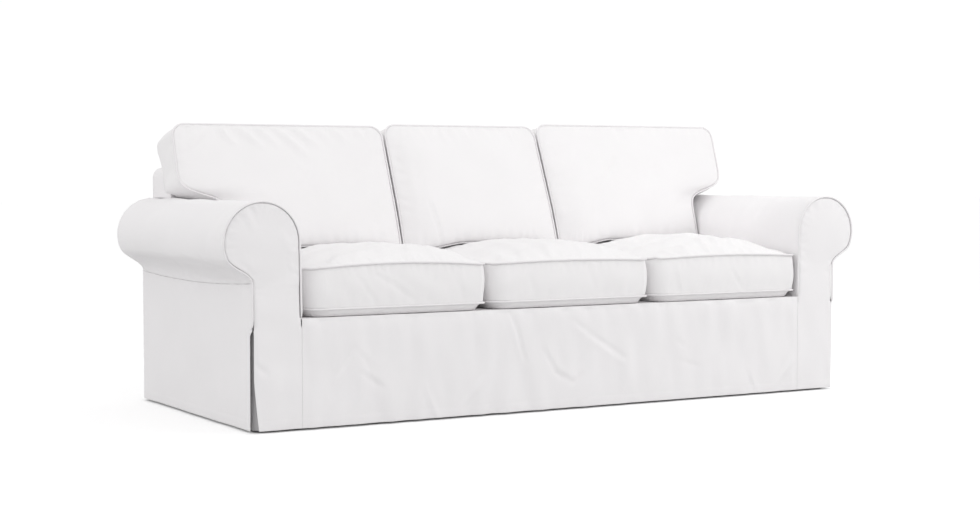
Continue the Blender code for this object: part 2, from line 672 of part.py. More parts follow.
def build_seat_cushion(row):
    """Box cushion of the seat with its crown, pressed flat at the rear, and its two pipings."""
    inset = PIPING_CLEAR + PIPING_RADIUS
    x_left = row["x_left"] + inset
    x_right = row["x_right"] - inset
    x, y, u, v = seat_outline_grid(x_left, x_right, SEAT_FRONT_Y, SEAT_REAR_TOP_Y)
    seam = SEAT_TOP_Z + row["arch"] * (1.0 - u ** 2) * np.clip(0.5 - 0.5 * v, 0.0, 1.0)
    rise = row["crown"] * seat_swell(u, v, row)
    pressed = np.clip((v - 0.25) / 0.35, 0.0, 1.0)
    limit = SEAT_REST_Z + 0.040 * (1.0 - pressed * pressed * (3.0 - 2.0 * pressed))
    held = np.clip(4.0 * ease(u, 2.0, 1.0), 0.0, 1.0) * np.clip(4.0 * ease(v, 2.0, 1.0), 0.0, 1.0)
    height = seam + rise + held * fold_relief(SEAT_FOLDS, x, y)
    top = np.stack([x, y, np.minimum(height, np.maximum(limit, seam))], 2)
    x, y, u, v = seat_outline_grid(x_left, x_right, SEAT_FRONT_Y, SEAT_REAR_BASE_Y)
    drop = np.minimum(UNDER_CROWN * ease(u, 2.6, 0.8) * ease(v, 3.0, 0.75),
                      SEAT_BASE_Z - DECK_Z - GAP)
    base = np.stack([x, y, SEAT_BASE_Z - drop], 2)
    upper = border_points(top)
    lower = border_points(base)
    rings = boxing_rings(upper, lower, (0.0, 0.0, 1.0), BOXING_BULGE)
    cushion_piece("seat_cushion_" + row["name"], top, rings, base)
    for level, loop in (("top", upper), ("base", lower)):
        path = loop + PIPING_CLEAR * outward_step(loop, (0.0, 0.0, 1.0))
        piping_piece("seat_piping_" + level + "_" + row["name"], path, (0.0, 0.0, 1.0))


def side_curve(row, hand):
    """One upright edge of a back cushion as (x, z) points, from the seat to the top."""
    low_x = row[hand + "_low"]
    top_x = row[hand + "_top"]
    levels = [z + (row["ear_lift"] if 0.5 < z < 0.72 else 0.0) for _, z in EAR_ROWS]
    if row["ear"] == hand:
        sign = -1.0 if hand == "left" else 1.0
        return [(sign * x, z) for (x, _), z in zip(EAR_ROWS, levels)]
    span = row["top_z"] - BACK_REST_Z
    return [(low_x + (top_x - low_x) * (z - BACK_REST_Z) / span, z) for z in levels]


def back_outline_rows(row):
    """Rows of a back cushion: left x, right x and height at each level, from seat to top."""
    left = side_curve(row, "left")
    right = side_curve(row, "right")
    rows = []
    base_radius = 0.018
    for height in (0.0, base_radius / 3.0):
        cut = corner_cut(height, base_radius)
        rows.append((left[0][0] + cut, right[0][0] - cut, BACK_REST_Z + height))
    for (x_left, z), (x_right, _) in zip(left, right):
        rows.append((x_left, x_right, z))
    for share in (0.35, 0.70, 0.90, 1.0):
        height = row["top_z"] - BACK_CORNER * (1.0 - share)
        cut = corner_cut(BACK_CORNER * (1.0 - share), BACK_CORNER)
        rows.append((row["x_left_top"] + cut, row["x_right_top"] - cut, height))
    return rows


def back_seam_y(z):
    """Depth of the front seam of the back cushions at height z."""
    return BACK_FRONT_Y + LEAN * (z - LEAN_Z)


def foot_sink(x):
    """How far a back cushion sinks at x to rest on the seat cushions, which fall to their sides."""
    rest = np.full(np.shape(x), SEAT_TOP_Z)
    for row in SEAT_ROWS:
        seat = dict(zip(SEAT_COLUMNS, row))
        u = np.clip((2.0 * x - seat["x_left"] - seat["x_right"]) / (seat["x_right"] - seat["x_left"]), -1, 1)
        rest = np.maximum(rest, SEAT_TOP_Z + 0.002 + seat["crown"] * seat_swell(u, 0.65, seat))
    return 0.9 * np.clip(SEAT_REST_Z - 0.0005 - rest, 0.0, FOOT_SINK / 0.9)


def build_back_cushion(row):
    """Box cushion of the back, leaning, with its crown and the piping round its front."""
    inset = PIPING_CLEAR + PIPING_RADIUS
    row["x_left_top"] = side_curve(row, "left")[-1][0]
    row["x_right_top"] = side_curve(row, "right")[-1][0]
    levels = back_outline_rows(row)
    columns = rounded_span(CUSHION_COLUMNS, 1.0, 0.10)
    span_z = row["top_z"] - BACK_REST_Z
    front_rows = []
    rear_rows = []
    for x_left, x_right, z in levels:
        half = 0.5 * (x_right - x_left) - inset
        x = 0.5 * (x_left + x_right) + half * columns
        level = BACK_REST_Z + inset * 0.5 + (z - BACK_REST_Z) * (span_z - inset * 1.5) / span_z
        share = 2.0 * ((z - BACK_REST_Z) / span_z) ** BACK_SAG - 1.0
        fullness = np.where(columns < 0.0, row["fullness"], 2.8)
        shoulder = 1.0 + 0.18 * (row["fullness"] - 2.8) * np.exp(-((columns + 0.72) / 0.22) ** 2)
        swell = shoulder * ease(columns, fullness, 0.8) * ease(share, 2.6, 0.75)
        lower_weight = 1.0 - 0.10 * share
        climb = (level - BACK_REST_Z) / span_z
        sunk = foot_sink(x) * np.clip(1.0 - climb / 0.35, 0.0, 1.0) ** 2
        z_row = level - sunk
        held = np.clip(3.0 * swell, 0.0, 1.0)
        relief = BACK_CROWN * lower_weight * swell + held * fold_relief(BACK_FOLDS, x, z_row)
        y_front = back_seam_y(level) - relief
        rear_level = level - BACK_TILT * climb ** 0.65
        corner = np.clip((np.abs(x) - 0.978) / 0.016, 0.0, 1.0) * np.clip((0.77 - level) / 0.08, 0.0, 1.0)
        rear_z = rear_level - sunk - EAR_DROOP * corner
        above = max(rear_level - BACK_TOP_Z - 0.003, 0.0)
        thick = BACK_THICK + (BACK_THICK_TOP - BACK_THICK) * min(above / 0.040, 1.0)
        y_rear = back_seam_y(level) + thick + 0.030 * swell
        y_rear = np.minimum(y_rear, inside_back_y(rear_z) - GAP * 1.5 + 1.5 * above)
        front_rows.append(np.stack([x, y_front, z_row], 1))
        rear_rows.append(np.stack([x, y_rear, rear_z], 1))
    front = np.array(front_rows)
    rear = np.array(rear_rows)
    seam = border_points(front)
    plane_axis = np.array([0.0, 1.0, -LEAN]) / math.hypot(1.0, LEAN)
    rings = boxing_rings(seam, border_points(rear), plane_axis, BOXING_BULGE)
    for ring in rings:
        ring[:, 2] = np.maximum(ring[:, 2], SEAT_REST_Z + 2 * GAP - foot_sink(ring[:, 0]))
    cushion_piece("back_cushion_" + row["name"], front, rings, rear)
    path = seam + PIPING_CLEAR * outward_step(seam, plane_axis)
    piping_piece("back_piping_" + row["name"], path, plane_axis)


def build_cover():
    """All pieces of the cover in their places."""
    clear_scene()
    for name, side in SIDES:
        build_arm_front(name, side)
        build_arm_piping(name, side)
        build_arm_roll(name, side)
        build_side_panel(name, side)
        build_arm_back(name, side)
    for slit in table(SLIT_COLUMNS, SLIT_ROWS):
        build_underlay(slit)
    build_front_skirt()
    build_seat_deck()
    build_inside_back()
    build_back_band()
    build_outside_back()
    for row in table(SEAT_COLUMNS, SEAT_ROWS):
        build_seat_cushion(row)
    for row in table(BACK_COLUMNS, BACK_ROWS):
        build_back_cushion(row)


build_cover()
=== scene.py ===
"""Looks of a loose white cotton sofa cover: every sewn panel, cord and cushion, and their cloth.

Metres, +Z up, the front of the cover faces -Y, and the hem hangs at z = 0.
"""
import math

import bpy
import numpy as np
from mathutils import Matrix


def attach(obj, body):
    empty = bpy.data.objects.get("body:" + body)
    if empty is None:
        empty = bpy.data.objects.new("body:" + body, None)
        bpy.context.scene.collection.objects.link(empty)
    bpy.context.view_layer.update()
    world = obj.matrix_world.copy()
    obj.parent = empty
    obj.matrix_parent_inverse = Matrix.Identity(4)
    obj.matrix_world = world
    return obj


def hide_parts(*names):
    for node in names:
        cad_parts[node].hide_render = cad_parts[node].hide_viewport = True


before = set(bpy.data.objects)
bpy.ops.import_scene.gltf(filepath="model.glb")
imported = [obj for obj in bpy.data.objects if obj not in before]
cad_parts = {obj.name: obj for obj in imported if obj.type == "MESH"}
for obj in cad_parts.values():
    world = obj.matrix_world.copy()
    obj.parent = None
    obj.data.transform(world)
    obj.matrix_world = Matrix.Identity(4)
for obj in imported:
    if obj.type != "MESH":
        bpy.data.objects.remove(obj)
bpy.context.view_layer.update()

# ==== the room ================================================================================
# A white studio with a pale floor just under the hem, a white sky, a large soft lamp at the front
# right, a weaker one at the left and a small one on the inside of the right arm. A greyer floor,
# which the camera doesn't see, sends back less light. The camera is off the front left corner.
CAMERA_PLACE = (-2.8643, -4.8409, 0.6885)
CAMERA_TURN = math.radians(30.4122)         # to the right of straight ahead
CAMERA_DIP = math.radians(2.519)
CAMERA_LENS = 65.56                         # millimetres, on a sensor 36 wide
FLOOR_Z = -0.006                            # the hem clears the floor by 6 mm
FLOOR_HALF = 40.0
FLOOR_PALE, FLOOR_GREY = 0.93, 0.70
FLOORS_APART = 0.0005                       # the grey floor lies this far under the pale one
FLOOR_GLOW = 0.17                           # light of the pale floor's own, outside the cover
UNDER_COVER = (0.99, 0.41)                  # half length and half depth of the floor that has none
SKY_STRENGTH, SKY_FALL = 1.03, -0.20        # at the horizon, and what is added straight above
LAMPS = {                                   # place, what it is aimed at, size, watts, beam angle
    "soft_lamp_right": ((2.8, -2.5, 2.8), (0.0, 0.0, 0.35), 2.0, 35.0, 180.0),
    "soft_lamp_left": ((-4.0, -1.0, 3.0), (0.0, 0.0, 0.35), 2.5, 14.0, 180.0),
    "soft_lamp_arm": ((-1.8, -0.05, 2.2), (0.94, -0.08, 0.50), 0.5, 0.11, 16.0),
}


def room_camera():
    """The camera at the photograph's angle, level across, without shift or depth of field."""
    data = bpy.data.cameras.new("camera")
    data.lens = CAMERA_LENS
    data.sensor_width = 36.0
    data.clip_end = 200.0
    camera = bpy.data.objects.new("camera", data)
    camera.location = CAMERA_PLACE
    camera.rotation_euler = (0.5 * math.pi - CAMERA_DIP, 0.0, -CAMERA_TURN)
    bpy.context.scene.collection.objects.link(camera)
    bpy.context.scene.camera = camera


def shader_node(tree, kind, operation="", *values):
    """The outputs of a new node, whose first inputs are set to numbers or joined to outputs."""
    node = tree.nodes.new("ShaderNode" + kind)
    if operation:
        node.operation = operation
    for socket, value in zip(node.inputs, values):
        if isinstance(value, bpy.types.NodeSocket):
            tree.links.new(value, socket)
        else:
            socket.default_value = value
    return node.outputs


def room_lights():
    """A white sky, a little dimmer overhead, and square soft lamps aimed at the cover."""
    world = bpy.data.worlds.new("white_room")
    world.use_nodes = True
    tree = world.node_tree
    sky = tree.nodes["Background"]
    upward = shader_node(tree, "SeparateXYZ", "", shader_node(tree, "TexCoord")["Generated"])["Z"]
    strength = shader_node(tree, "Math", "MULTIPLY_ADD", upward, SKY_FALL, SKY_STRENGTH)[0]
    sky.inputs["Color"].default_value = (1.0, 1.0, 1.0, 1.0)
    tree.links.new(strength, sky.inputs["Strength"])
    bpy.context.scene.world = world
    for name, (place, aim, size, power, spread) in LAMPS.items():
        data = bpy.data.lights.new(name, "AREA")
        data.energy, data.size, data.spread = power, size, math.radians(spread)
        lamp = bpy.data.objects.new(name, data)
        way = np.array(aim) - np.array(place)
        lamp.location = place
        lamp.rotation_euler = (math.atan2(math.hypot(way[0], way[1]), -way[2]), 0.0,
                               math.atan2(way[1], way[0]) - 0.5 * math.pi)
        bpy.context.scene.collection.objects.link(lamp)


def room_floor(name, height, white):
    """One large square of matt floor."""
    corners = ((-1, -1), (1, -1), (1, 1), (-1, 1))
    mesh = bpy.data.meshes.new(name)
    mesh.from_pydata([(x * FLOOR_HALF, y * FLOOR_HALF, height) for x, y in corners], [], [(0, 1, 2, 3)])
    paint = bpy.data.materials.new(name)
    paint.use_nodes = True
    shader = paint.node_tree.nodes["Principled BSDF"]
    shader.inputs["Base Color"].default_value = (white, white, white, 1.0)
    shader.inputs["Roughness"].default_value = 0.95
    shader.inputs["Specular IOR Level"].default_value = 0.1
    mesh.materials.append(paint)
    floor = bpy.data.objects.new(name, mesh)
    bpy.context.scene.collection.objects.link(floor)
    return floor


def floor_glow(floor):
    """The floor's own light: the glow where |x| or |y| is beyond the cover, and none under it."""
    tree = floor.data.materials[0].node_tree
    size = shader_node(tree, "VectorMath", "ABSOLUTE", shader_node(tree, "TexCoord")["Object"])[0]
    place = shader_node(tree, "SeparateXYZ", "", size)
    beyond = [shader_node(tree, "Math", "GREATER_THAN", place[axis], half)[0]
              for axis, half in zip("XY", UNDER_COVER)]
    outside = shader_node(tree, "Math", "MAXIMUM", *beyond)[0]
    glow = shader_node(tree, "Math", "MULTIPLY", outside, FLOOR_GLOW)[0]
    shader = tree.nodes["Principled BSDF"]
    shader.inputs["Emission Color"].default_value = (1.0, 1.0, 1.0, 1.0)
    tree.links.new(glow, shader.inputs["Emission Strength"])


room_camera()
room_lights()
pale_floor = room_floor("pale_floor", FLOOR_Z, FLOOR_PALE)
pale_floor.visible_diffuse = pale_floor.visible_glossy = pale_floor.visible_shadow = False
floor_glow(pale_floor)
grey_floor = room_floor("grey_floor", FLOOR_Z - FLOORS_APART, FLOOR_GREY)
grey_floor.visible_camera = False
bpy.context.scene.view_settings.view_transform = "Standard"

# ==== cloth over the arms =====================================================================
# One length of cotton for each arm: up its inside from the seat, over the roll and in beneath
# it, where it is seamed to the side panel. It is cut on the straight and drawn snug by the seams.
FRONT_Y = -0.430                  # plane of the arm fronts and the skirt
REAR_Y = 0.430
DECK_Z = 0.299                    # the seat under its cushions, and top of the skirt
UNDER_DECK_Z = DECK_Z - 0.0025    # where the cloths that the deck is sewn to end
ARM_FOOT_X = 0.865                # inside of an arm at the seat
ROLL_X = 0.9795                   # middle of the roll
ROLL_Z = 0.506
ROLL_RADIUS = 0.1107
SEAM_X = 1.0095                   # seam under the roll
SEAM_Z, SEAM_DIP, SEAM_FALL = 0.398, 0.054, 0.004     # its height at the front, and how that falls
CLEAR = 0.0003                    # between cloths that touch
SEAM_GAP = 2.0 * CLEAR            # and where a seam joins them
PIPED_Y = -0.4259                 # the cloth's front edge, behind the cord round the arm front
BACKED_Y = 0.4272                 # its rear edge, in front of the rear panels
SIDES = (("left", -1), ("right", 1))          # and the sign of their x
CLOTH = 0.0018                    # the cotton with its turned edges
RIM_DROP = (0.38, 0.16, 0.04)     # rounding of a panel's rim, as shares of its thickness
WEAR_AND_SHADE_WIDE = 0.006                 # how far in from an edge the cloth is darkened: wear, and painted shade along its seams
ROUND_FROM, ROUND_TO = 0.3011, 0.8641         # the round stretch of the section, as shares of it
ROUND_PAST = 0.125                # how far past level it goes under the roll, in half turns
DRAWN_IN = 0.030                  # how long the cloth then keeps its direction
TURN_DOWN, TURN_DOWN_REAR = 0.027, 0.024      # its bend above the seam, and what the rear adds
ARM_HIDDEN = 0.16                 # the part of it behind the seat cushions has no folds
ARM_CUT = 0.695                   # the length over the arm from seat to seam
FINE, COARSE = 0.0065, 0.024      # spacing of the grid on cloth that shows and that doesn't
WAVES = 9                         # in the unevenness of a cloth
WEAVE_DEPTH = 0.00022
WANDER = 0.004                    # how far a thread strays from straight
SLUBS = (30.0, 900.0, 1.0)        # thick threads: how many to the metre along and across
MOTTLING = 5.0                    # soft spots of colour to the metre

# crests of soft folds, in millimetres: from (a0, b0) to (a1, b1) on the cloth, half width and
# height. Last, how far the fold's trough lies to one side, in half widths, where not as usual;
# 0 is a fold without a trough.
USUAL_TROUGH = 1.6
# on an arm: a is the way over the arm from the seat, b is y
ARM_FOLDS = {
    "left": (
        (658, -420, 638, -360, 7, -2.4, 0), (638, -360, 638, -300, 7, -2.6, 0),
        (638, -300, 622, -240, 7, -2.3, 0), (622, -240, 620, -100, 8, -2.6, 0),
        (620, -100, 634, 100, 8, -2.9, 0), (634, 100, 642, 270, 9, -2.6, 0),
        (642, 270, 630, 400, 10, -2.0, 0), (622, 30, 674, 70, 6, 3.0, -1.8),
        (590, -240, 630, -290, 12, 1.6), (665, -300, 670, -100, 12, 1.5, 0),
        (590, -100, 630, -260, 16, 1.6), (550, -330, 620, -300, 14, 1.2),
        (540, 240, 610, 220, 16, 1.0, 1.5), (450, -390, 550, -350, 18, 1.2, 1.5),
    ),
    "right": (
        (170, 50, 330, 20, 20, 1.4), (190, -80, 350, -120, 16, 1.6, -1.6), (150, -200, 320, -220, 14, 1.4),
        (290, 100, 390, 20, 22, 1.2, 1.5), (630, -400, 620, 380, 15, -2.0, 0), (590, 50, 640, 20, 12, 1.4),
    ),
}


def unit(vectors):
    """The vectors at length one."""
    return vectors / np.maximum(np.linalg.norm(vectors, axis=-1, keepdims=True), 1e-12)


def smooth(share):
    """An even start and stop: 3 s^2 - 2 s^3, with s held between 0 and 1."""
    share = np.clip(share, 0.0, 1.0)
    return share * share * (3.0 - 2.0 * share)


def stations(length, step, close=()):
    """Shares along an edge of the cloth: even steps, closer at both rims and at chosen shares."""
    even = np.linspace(0.0, 1.0, max(2, round(length / step)) + 1)
    rim = np.array([0.35, 1.0, 2.2]) * 0.5 * CLOTH / length
    near = [share + shift * 0.002 / length for share in close for shift in (-2.0, -1.0, 0.0, 1.0, 2.0)]
    inside = even[(even > 1.6 * rim[2]) & (even < 1.0 - 1.6 * rim[2])]
    shares = np.unique(np.concatenate([[0.0], rim, inside, near, 1.0 - rim, [1.0]]))
    return shares[np.concatenate([[True], np.diff(shares) > 0.2 * rim[0]])]


def soft_waves(a, b, seed, longest, high):
    """Unevenness of hand-cut cloth: the sum of nine sine waves that run in many directions.

    Each has its own direction, phase and length from 0.4 to 1 times the longest.
    """
    draw = np.random.default_rng(seed)
    turn, phase = draw.uniform(0.0, 2.0 * math.pi, (2, WAVES))
    length = longest * draw.uniform(0.4, 1.0, WAVES)
    total = 0.0
    for k in range(WAVES):
        across = a * math.cos(turn[k]) + b * math.sin(turn[k])
        total = total + np.sin(2.0 * math.pi * across / length[k] + phase[k])
    return high * total / math.sqrt(0.5 * WAVES)


def crests(rows, a, b):
    """Folds: a bell-shaped ridge along each crest, with a shallower trough beside it.

    The ridge is high * exp(-(d / wide)^2), d being the distance from the crest, and the trough
    is the same bell, wider and 0.45 as deep, moved sideways; both fade past the crest's ends.
    """
    relief = np.zeros(np.broadcast(a, b).shape)
    for row in rows:
        a0, b0, a1, b1, wide, high = (0.001 * size for size in row[:6])
        trough = row[6] if len(row) > 6 else USUAL_TROUGH
        run_a, run_b = a1 - a0, b1 - b0
        length = math.hypot(run_a, run_b)
        along = ((a - a0) * run_a + (b - b0) * run_b) / length
        aside = ((b - b0) * run_a - (a - a0) * run_b) / length
        past = np.maximum(np.maximum(-along, along - length), 0.0)
        fade = np.exp(-((past / (1.3 * wide)) ** 2))
        taper = 0.55 + 0.45 * np.sin(math.pi * np.clip(along / length, 0.0, 1.0))
        ridge = np.exp(-((aside / wide) ** 2))
        if trough:
            ridge = ridge - 0.45 * np.exp(-(((aside - trough * wide) / (1.3 * wide)) ** 2))
        relief = relief + high * ridge * fade * taper
    return relief


def puckers(along, inward, seed, spacing, high, reach=0.030, lap=0.0):
    """Small gathers along a sewn seam, deepest a finger's breadth in from it.

    Waves along the seam, slanted a little, times (d / p) exp(1 - d / p) with d the distance from
    the seam and p a third of the reach. With a lap, whole numbers of waves go round the seam.
    """
    draw = np.random.default_rng(seed)
    peak = reach / 3.0
    total = 0.0
    for k in range(6):
        length = spacing * draw.uniform(0.7, 2.4)
        if lap:
            length = lap / max(1.0, round(lap / length))
        slant = draw.uniform(-0.5, 0.5)
        total = total + np.sin(2.0 * math.pi * (along + slant * inward) / length + draw.uniform(0.0, 6.28))
    depth = (inward / peak) * np.exp(1.0 - inward / peak)
    return high * np.clip(total / 2.0, -1.2, 0.8) * depth


def surface_normals(points):
    """Unit normals of a grid of points: the cross product of its two directions."""
    return unit(np.cross(np.gradient(points, axis=0), np.gradient(points, axis=1)))


def lengths_along(points, axis):
    """Distance in metres along each line of a grid, from its first point."""
    steps = np.linalg.norm(np.diff(points, axis=axis), axis=-1)
    first = np.zeros_like(np.take(steps, [0], axis=axis))
    return np.concatenate([first, np.cumsum(steps, axis=axis)], axis=axis)


def grid_quads(rows, columns, start=0):
    """Corners of the squares between the points of a grid, as rows of four indices."""
    corner = start + (np.arange(rows - 1)[:, None] * columns + np.arange(columns - 1)).ravel()
    return np.stack([corner, corner + columns, corner + columns + 1, corner + 1], 1)


def rim_of(rows, columns, start=0):
    """Indices round the border of a grid, once round."""
    return start + np.concatenate([
        np.arange(columns),
        np.arange(1, rows) * columns + columns - 1,
        (rows - 1) * columns + np.arange(columns - 2, -1, -1),
        np.arange(rows - 2, 0, -1) * columns,
    ])


def band_quads(loop_a, loop_b):
    """Squares between two closed loops of as many points."""
    return np.stack([loop_a, np.roll(loop_a, -1), np.roll(loop_b, -1), loop_b], 1)


def sewn_mesh(name, points, quads, cloth_uv, worn_and_seam_shade):
    """A closed mesh of squares with smooth shading, faces outwards, UVs in metres, and its wear and painted
    seam shade.

    The faces are turned round where the volume that they enclose comes out negative.
    """
    first, second, third, fourth = (points[quads[:, k]] for k in range(4))
    volume = np.einsum("ij,ij->i", first, np.cross(second, third) + np.cross(third, fourth)).sum()
    if volume < 0.0:
        quads = quads[:, ::-1]
        cloth_uv = cloth_uv[:, ::-1]
    mesh = bpy.data.meshes.new(name)
    mesh.vertices.add(len(points))
    mesh.vertices.foreach_set("co", points.astype(np.float32).ravel())
    mesh.loops.add(quads.size)
    mesh.loops.foreach_set("vertex_index", quads.astype(np.int32).ravel())
    mesh.polygons.add(len(quads))
    mesh.polygons.foreach_set("loop_start", np.arange(0, quads.size, 4, dtype=np.int32))
    mesh.update(calc_edges=True)
    mesh.validate()
    mesh.shade_smooth()
    layer = mesh.uv_layers.new(name="cloth")
    layer.data.foreach_set("uv", cloth_uv.astype(np.float32).ravel())
    wear_and_seam_shade = mesh.attributes.new("worn_and_seam_shade", "FLOAT", "POINT")
    wear_and_seam_shade.data.foreach_set("value", worn_and_seam_shade.astype(np.float32).ravel())
    piece = bpy.data.objects.new(name, mesh)
    bpy.context.scene.collection.objects.link(piece)
    return piece


def fit_piece(piece, node, material):
    """The piece again, in its cloth and in the place of its solid."""
    piece.data.materials.append(material)
    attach(piece, "root")
    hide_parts(node)
    return piece


def cotton(name, colour, pitch=0.0011, mottle=0.016, roughness=0.9):
    """Plain-woven cotton, washed often; the pitch is that of its threads.

    With su and sv the sines of the ways across warp and weft, the warp stands |su| + su sv high,
    the weft |sv| - su sv, and the higher of the two shows. Soft mottling and thick threads darken
    the colour a little, and so do wear and painted seam shade; all of it follows the cloth, in metres.
    """
    material = bpy.data.materials.new(name)
    material.use_nodes = True
    tree = material.node_tree
    shader = tree.nodes["Principled BSDF"]

    def maths(operation, *values):
        return shader_node(tree, "Math", operation, *values)[0]

    def noise(vector, scale, detail):
        node = tree.nodes.new("ShaderNodeTexNoise")
        node.inputs["Scale"].default_value = scale
        node.inputs["Detail"].default_value = detail
        tree.links.new(vector, node.inputs["Vector"])
        return node.outputs["Fac"]

    cloth_map = tree.nodes.new("ShaderNodeUVMap")
    cloth_map.uv_map = "cloth"
    cloth_uv = cloth_map.outputs["UV"]
    split = shader_node(tree, "SeparateXYZ", "", cloth_uv)
    place = shader_node(tree, "TexCoord")["Object"]
    drift = maths("MULTIPLY", noise(cloth_uv, 9.0, 1.0), WANDER)
    turn = math.pi / pitch
    warp = maths("SINE", maths("MULTIPLY", maths("ADD", split["X"], drift), turn))
    weft = maths("SINE", maths("MULTIPLY", maths("ADD", split["Y"], drift), turn))
    crossing = maths("MULTIPLY", warp, weft)
    over = maths("ADD", maths("ABSOLUTE", warp), crossing)
    under = maths("SUBTRACT", maths("ABSOLUTE", weft), crossing)
    thread = maths("MULTIPLY", maths("MAXIMUM", over, under), 0.5)

    stretch = tree.nodes.new("ShaderNodeMapping")
    stretch.inputs["Scale"].default_value = SLUBS
    tree.links.new(cloth_uv, stretch.inputs["Vector"])
    slub = noise(stretch.outputs["Vector"], 1.0, 2.0)
    mottling = noise(place, MOTTLING, 3.0)
    wear_and_seam_shade = tree.nodes.new("ShaderNodeAttribute")
    wear_and_seam_shade.attribute_name = "worn_and_seam_shade"

    tone = maths("MULTIPLY_ADD", mottling, 2.0 * mottle, 1.0 - mottle)
    tone = maths("MULTIPLY", tone, maths("MULTIPLY_ADD", thread, 0.05, 0.965))
    tone = maths("MULTIPLY", tone, maths("MULTIPLY_ADD", slub, 0.03, 0.985))
    # darker near seams and edges, and on the creased half of each cord: wear, and painted seam shade
    tone = maths("SUBTRACT", tone, maths("MULTIPLY", wear_and_seam_shade.outputs["Fac"], 0.025))
    shade = tree.nodes.new("ShaderNodeVectorMath")
    shade.operation = "SCALE"
    shade.inputs[0].default_value = colour
    tree.links.new(tone, shade.inputs["Scale"])
    tree.links.new(shade.outputs[0], shader.inputs["Base Color"])

    rough = maths("MULTIPLY_ADD", slub, 0.10, roughness - 0.05)
    tree.links.new(rough, shader.inputs["Roughness"])
    bump = tree.nodes.new("ShaderNodeBump")
    bump.inputs["Strength"].default_value = 0.5
    bump.inputs["Distance"].default_value = WEAVE_DEPTH
    tree.links.new(maths("ADD", thread, maths("MULTIPLY", slub, 0.6)), bump.inputs["Height"])
    tree.links.new(bump.outputs["Normal"], shader.inputs["Normal"])
    shader.inputs["Specular IOR Level"].default_value = 0.25
    shader.inputs["Sheen Weight"].default_value = 0.12
    shader.inputs["Sheen Roughness"].default_value = 0.6
    return material


cover_cotton = cotton("cover_cotton", (0.896, 0.880, 0.888))


def cloth_panel(node, places, relief, mirror=1, material=cover_cotton):
    """A panel of cloth: its face raised by the relief, and a second layer one thickness inside.

    The face is given as grids of x, y and z. The two layers meet in a rounded rim. A left-hand
    panel is the right-hand one mirrored in x.
    """
    surface = np.stack(np.broadcast_arrays(*places), 2)
    rows, columns = surface.shape[:2]
    face = surface + surface_normals(surface) * relief[..., None]
    normal = surface_normals(face)
    down_rim, across_rim = (
        np.concatenate([RIM_DROP, np.zeros(count - 6), RIM_DROP[::-1]]) for count in (rows, columns)
    )
    drop = CLOTH * np.maximum(down_rim[:, None], across_rim)[..., None]
    outer = face - normal * drop
    inner = face - normal * (CLOTH - drop)
    points = np.concatenate([outer.reshape(-1, 3), inner.reshape(-1, 3)])
    points[:, 0] *= mirror
    count = rows * columns
    quads = np.concatenate([
        grid_quads(rows, columns),
        grid_quads(rows, columns, count)[:, ::-1],
        band_quads(rim_of(rows, columns), rim_of(rows, columns, count)),
    ])
    down, across = lengths_along(face, 0), lengths_along(face, 1)
    cloth_uv = np.stack([across.ravel(), down.ravel()], 1)
    edge = np.minimum(np.minimum(down, down[-1:] - down), np.minimum(across, across[:, -1:] - across))
    # darker within a few millimetres of every edge: wear, and painted shade along the seams
    worn_and_seam_shade = np.exp(-edge / WEAR_AND_SHADE_WIDE).ravel()
    both = np.concatenate([cloth_uv, cloth_uv])
    panel = sewn_mesh(node + "_cloth", points, quads, both[quads], np.concatenate([worn_and_seam_shade, worn_and_seam_shade]))
    return fit_piece(panel, node, material)


def arm_section(share, y):
    """Outline of an arm, from its foot at the seat (0) to the seam under the roll (1).

    A straight rise, a round of 202.5 degrees over the top, and a cubic curve that draws in
    beneath the roll and turns down to the seam. The seam dips half way back, and the cloth turns
    down higher above it towards the rear. Returns x and z.
    """
    rise = np.clip(share / ROUND_FROM, 0.0, 1.0)
    top_x = ROLL_X - ROLL_RADIUS
    x = ARM_FOOT_X + (top_x - ARM_FOOT_X) * rise
    z = UNDER_DECK_Z + (ROLL_Z - UNDER_DECK_Z) * rise
    over = np.clip((share - ROUND_FROM) / (ROUND_TO - ROUND_FROM), 0.0, 1.0)
    angle = math.pi * (1.0 - (1.0 + ROUND_PAST) * over)
    x = np.where(share > ROUND_FROM, ROLL_X + ROLL_RADIUS * np.cos(angle), x)
    z = np.where(share > ROUND_FROM, ROLL_Z + ROLL_RADIUS * np.sin(angle), z)
    leave = -ROUND_PAST * math.pi
    start_x, start_z = ROLL_X + ROLL_RADIUS * math.cos(leave), ROLL_Z + ROLL_RADIUS * math.sin(leave)
    pull_x, pull_z = start_x + DRAWN_IN * math.sin(leave), start_z - DRAWN_IN * math.cos(leave)
    rearward = np.clip((y + 0.20) / 0.18, 0, 1) * np.clip((0.42 - y) / 0.12, 0, 1)
    lift = TURN_DOWN + TURN_DOWN_REAR * smooth(rearward)
    t = np.clip((share - ROUND_TO) / (1.0 - ROUND_TO), 0.0, 1.0)
    ends, near, far, last = (1 - t) ** 3, 3 * (1 - t) ** 2 * t, 3 * (1 - t) * t ** 2, t ** 3
    under_x = ends * start_x + near * pull_x + (far + last) * SEAM_X
    under_z = ends * start_z + near * pull_z + far * (seam_height(y) + lift) + last * seam_height(y)
    return np.where(share > ROUND_TO, under_x, x), np.where(share > ROUND_TO, under_z, z)


def seam_height(y):
    """Height of the seam under the roll: it dips half way back and falls a little to the rear."""
    back = (y - FRONT_Y) / (REAR_Y - FRONT_Y)
    return SEAM_Z - SEAM_DIP * back * (1.0 - back) - SEAM_FALL * back


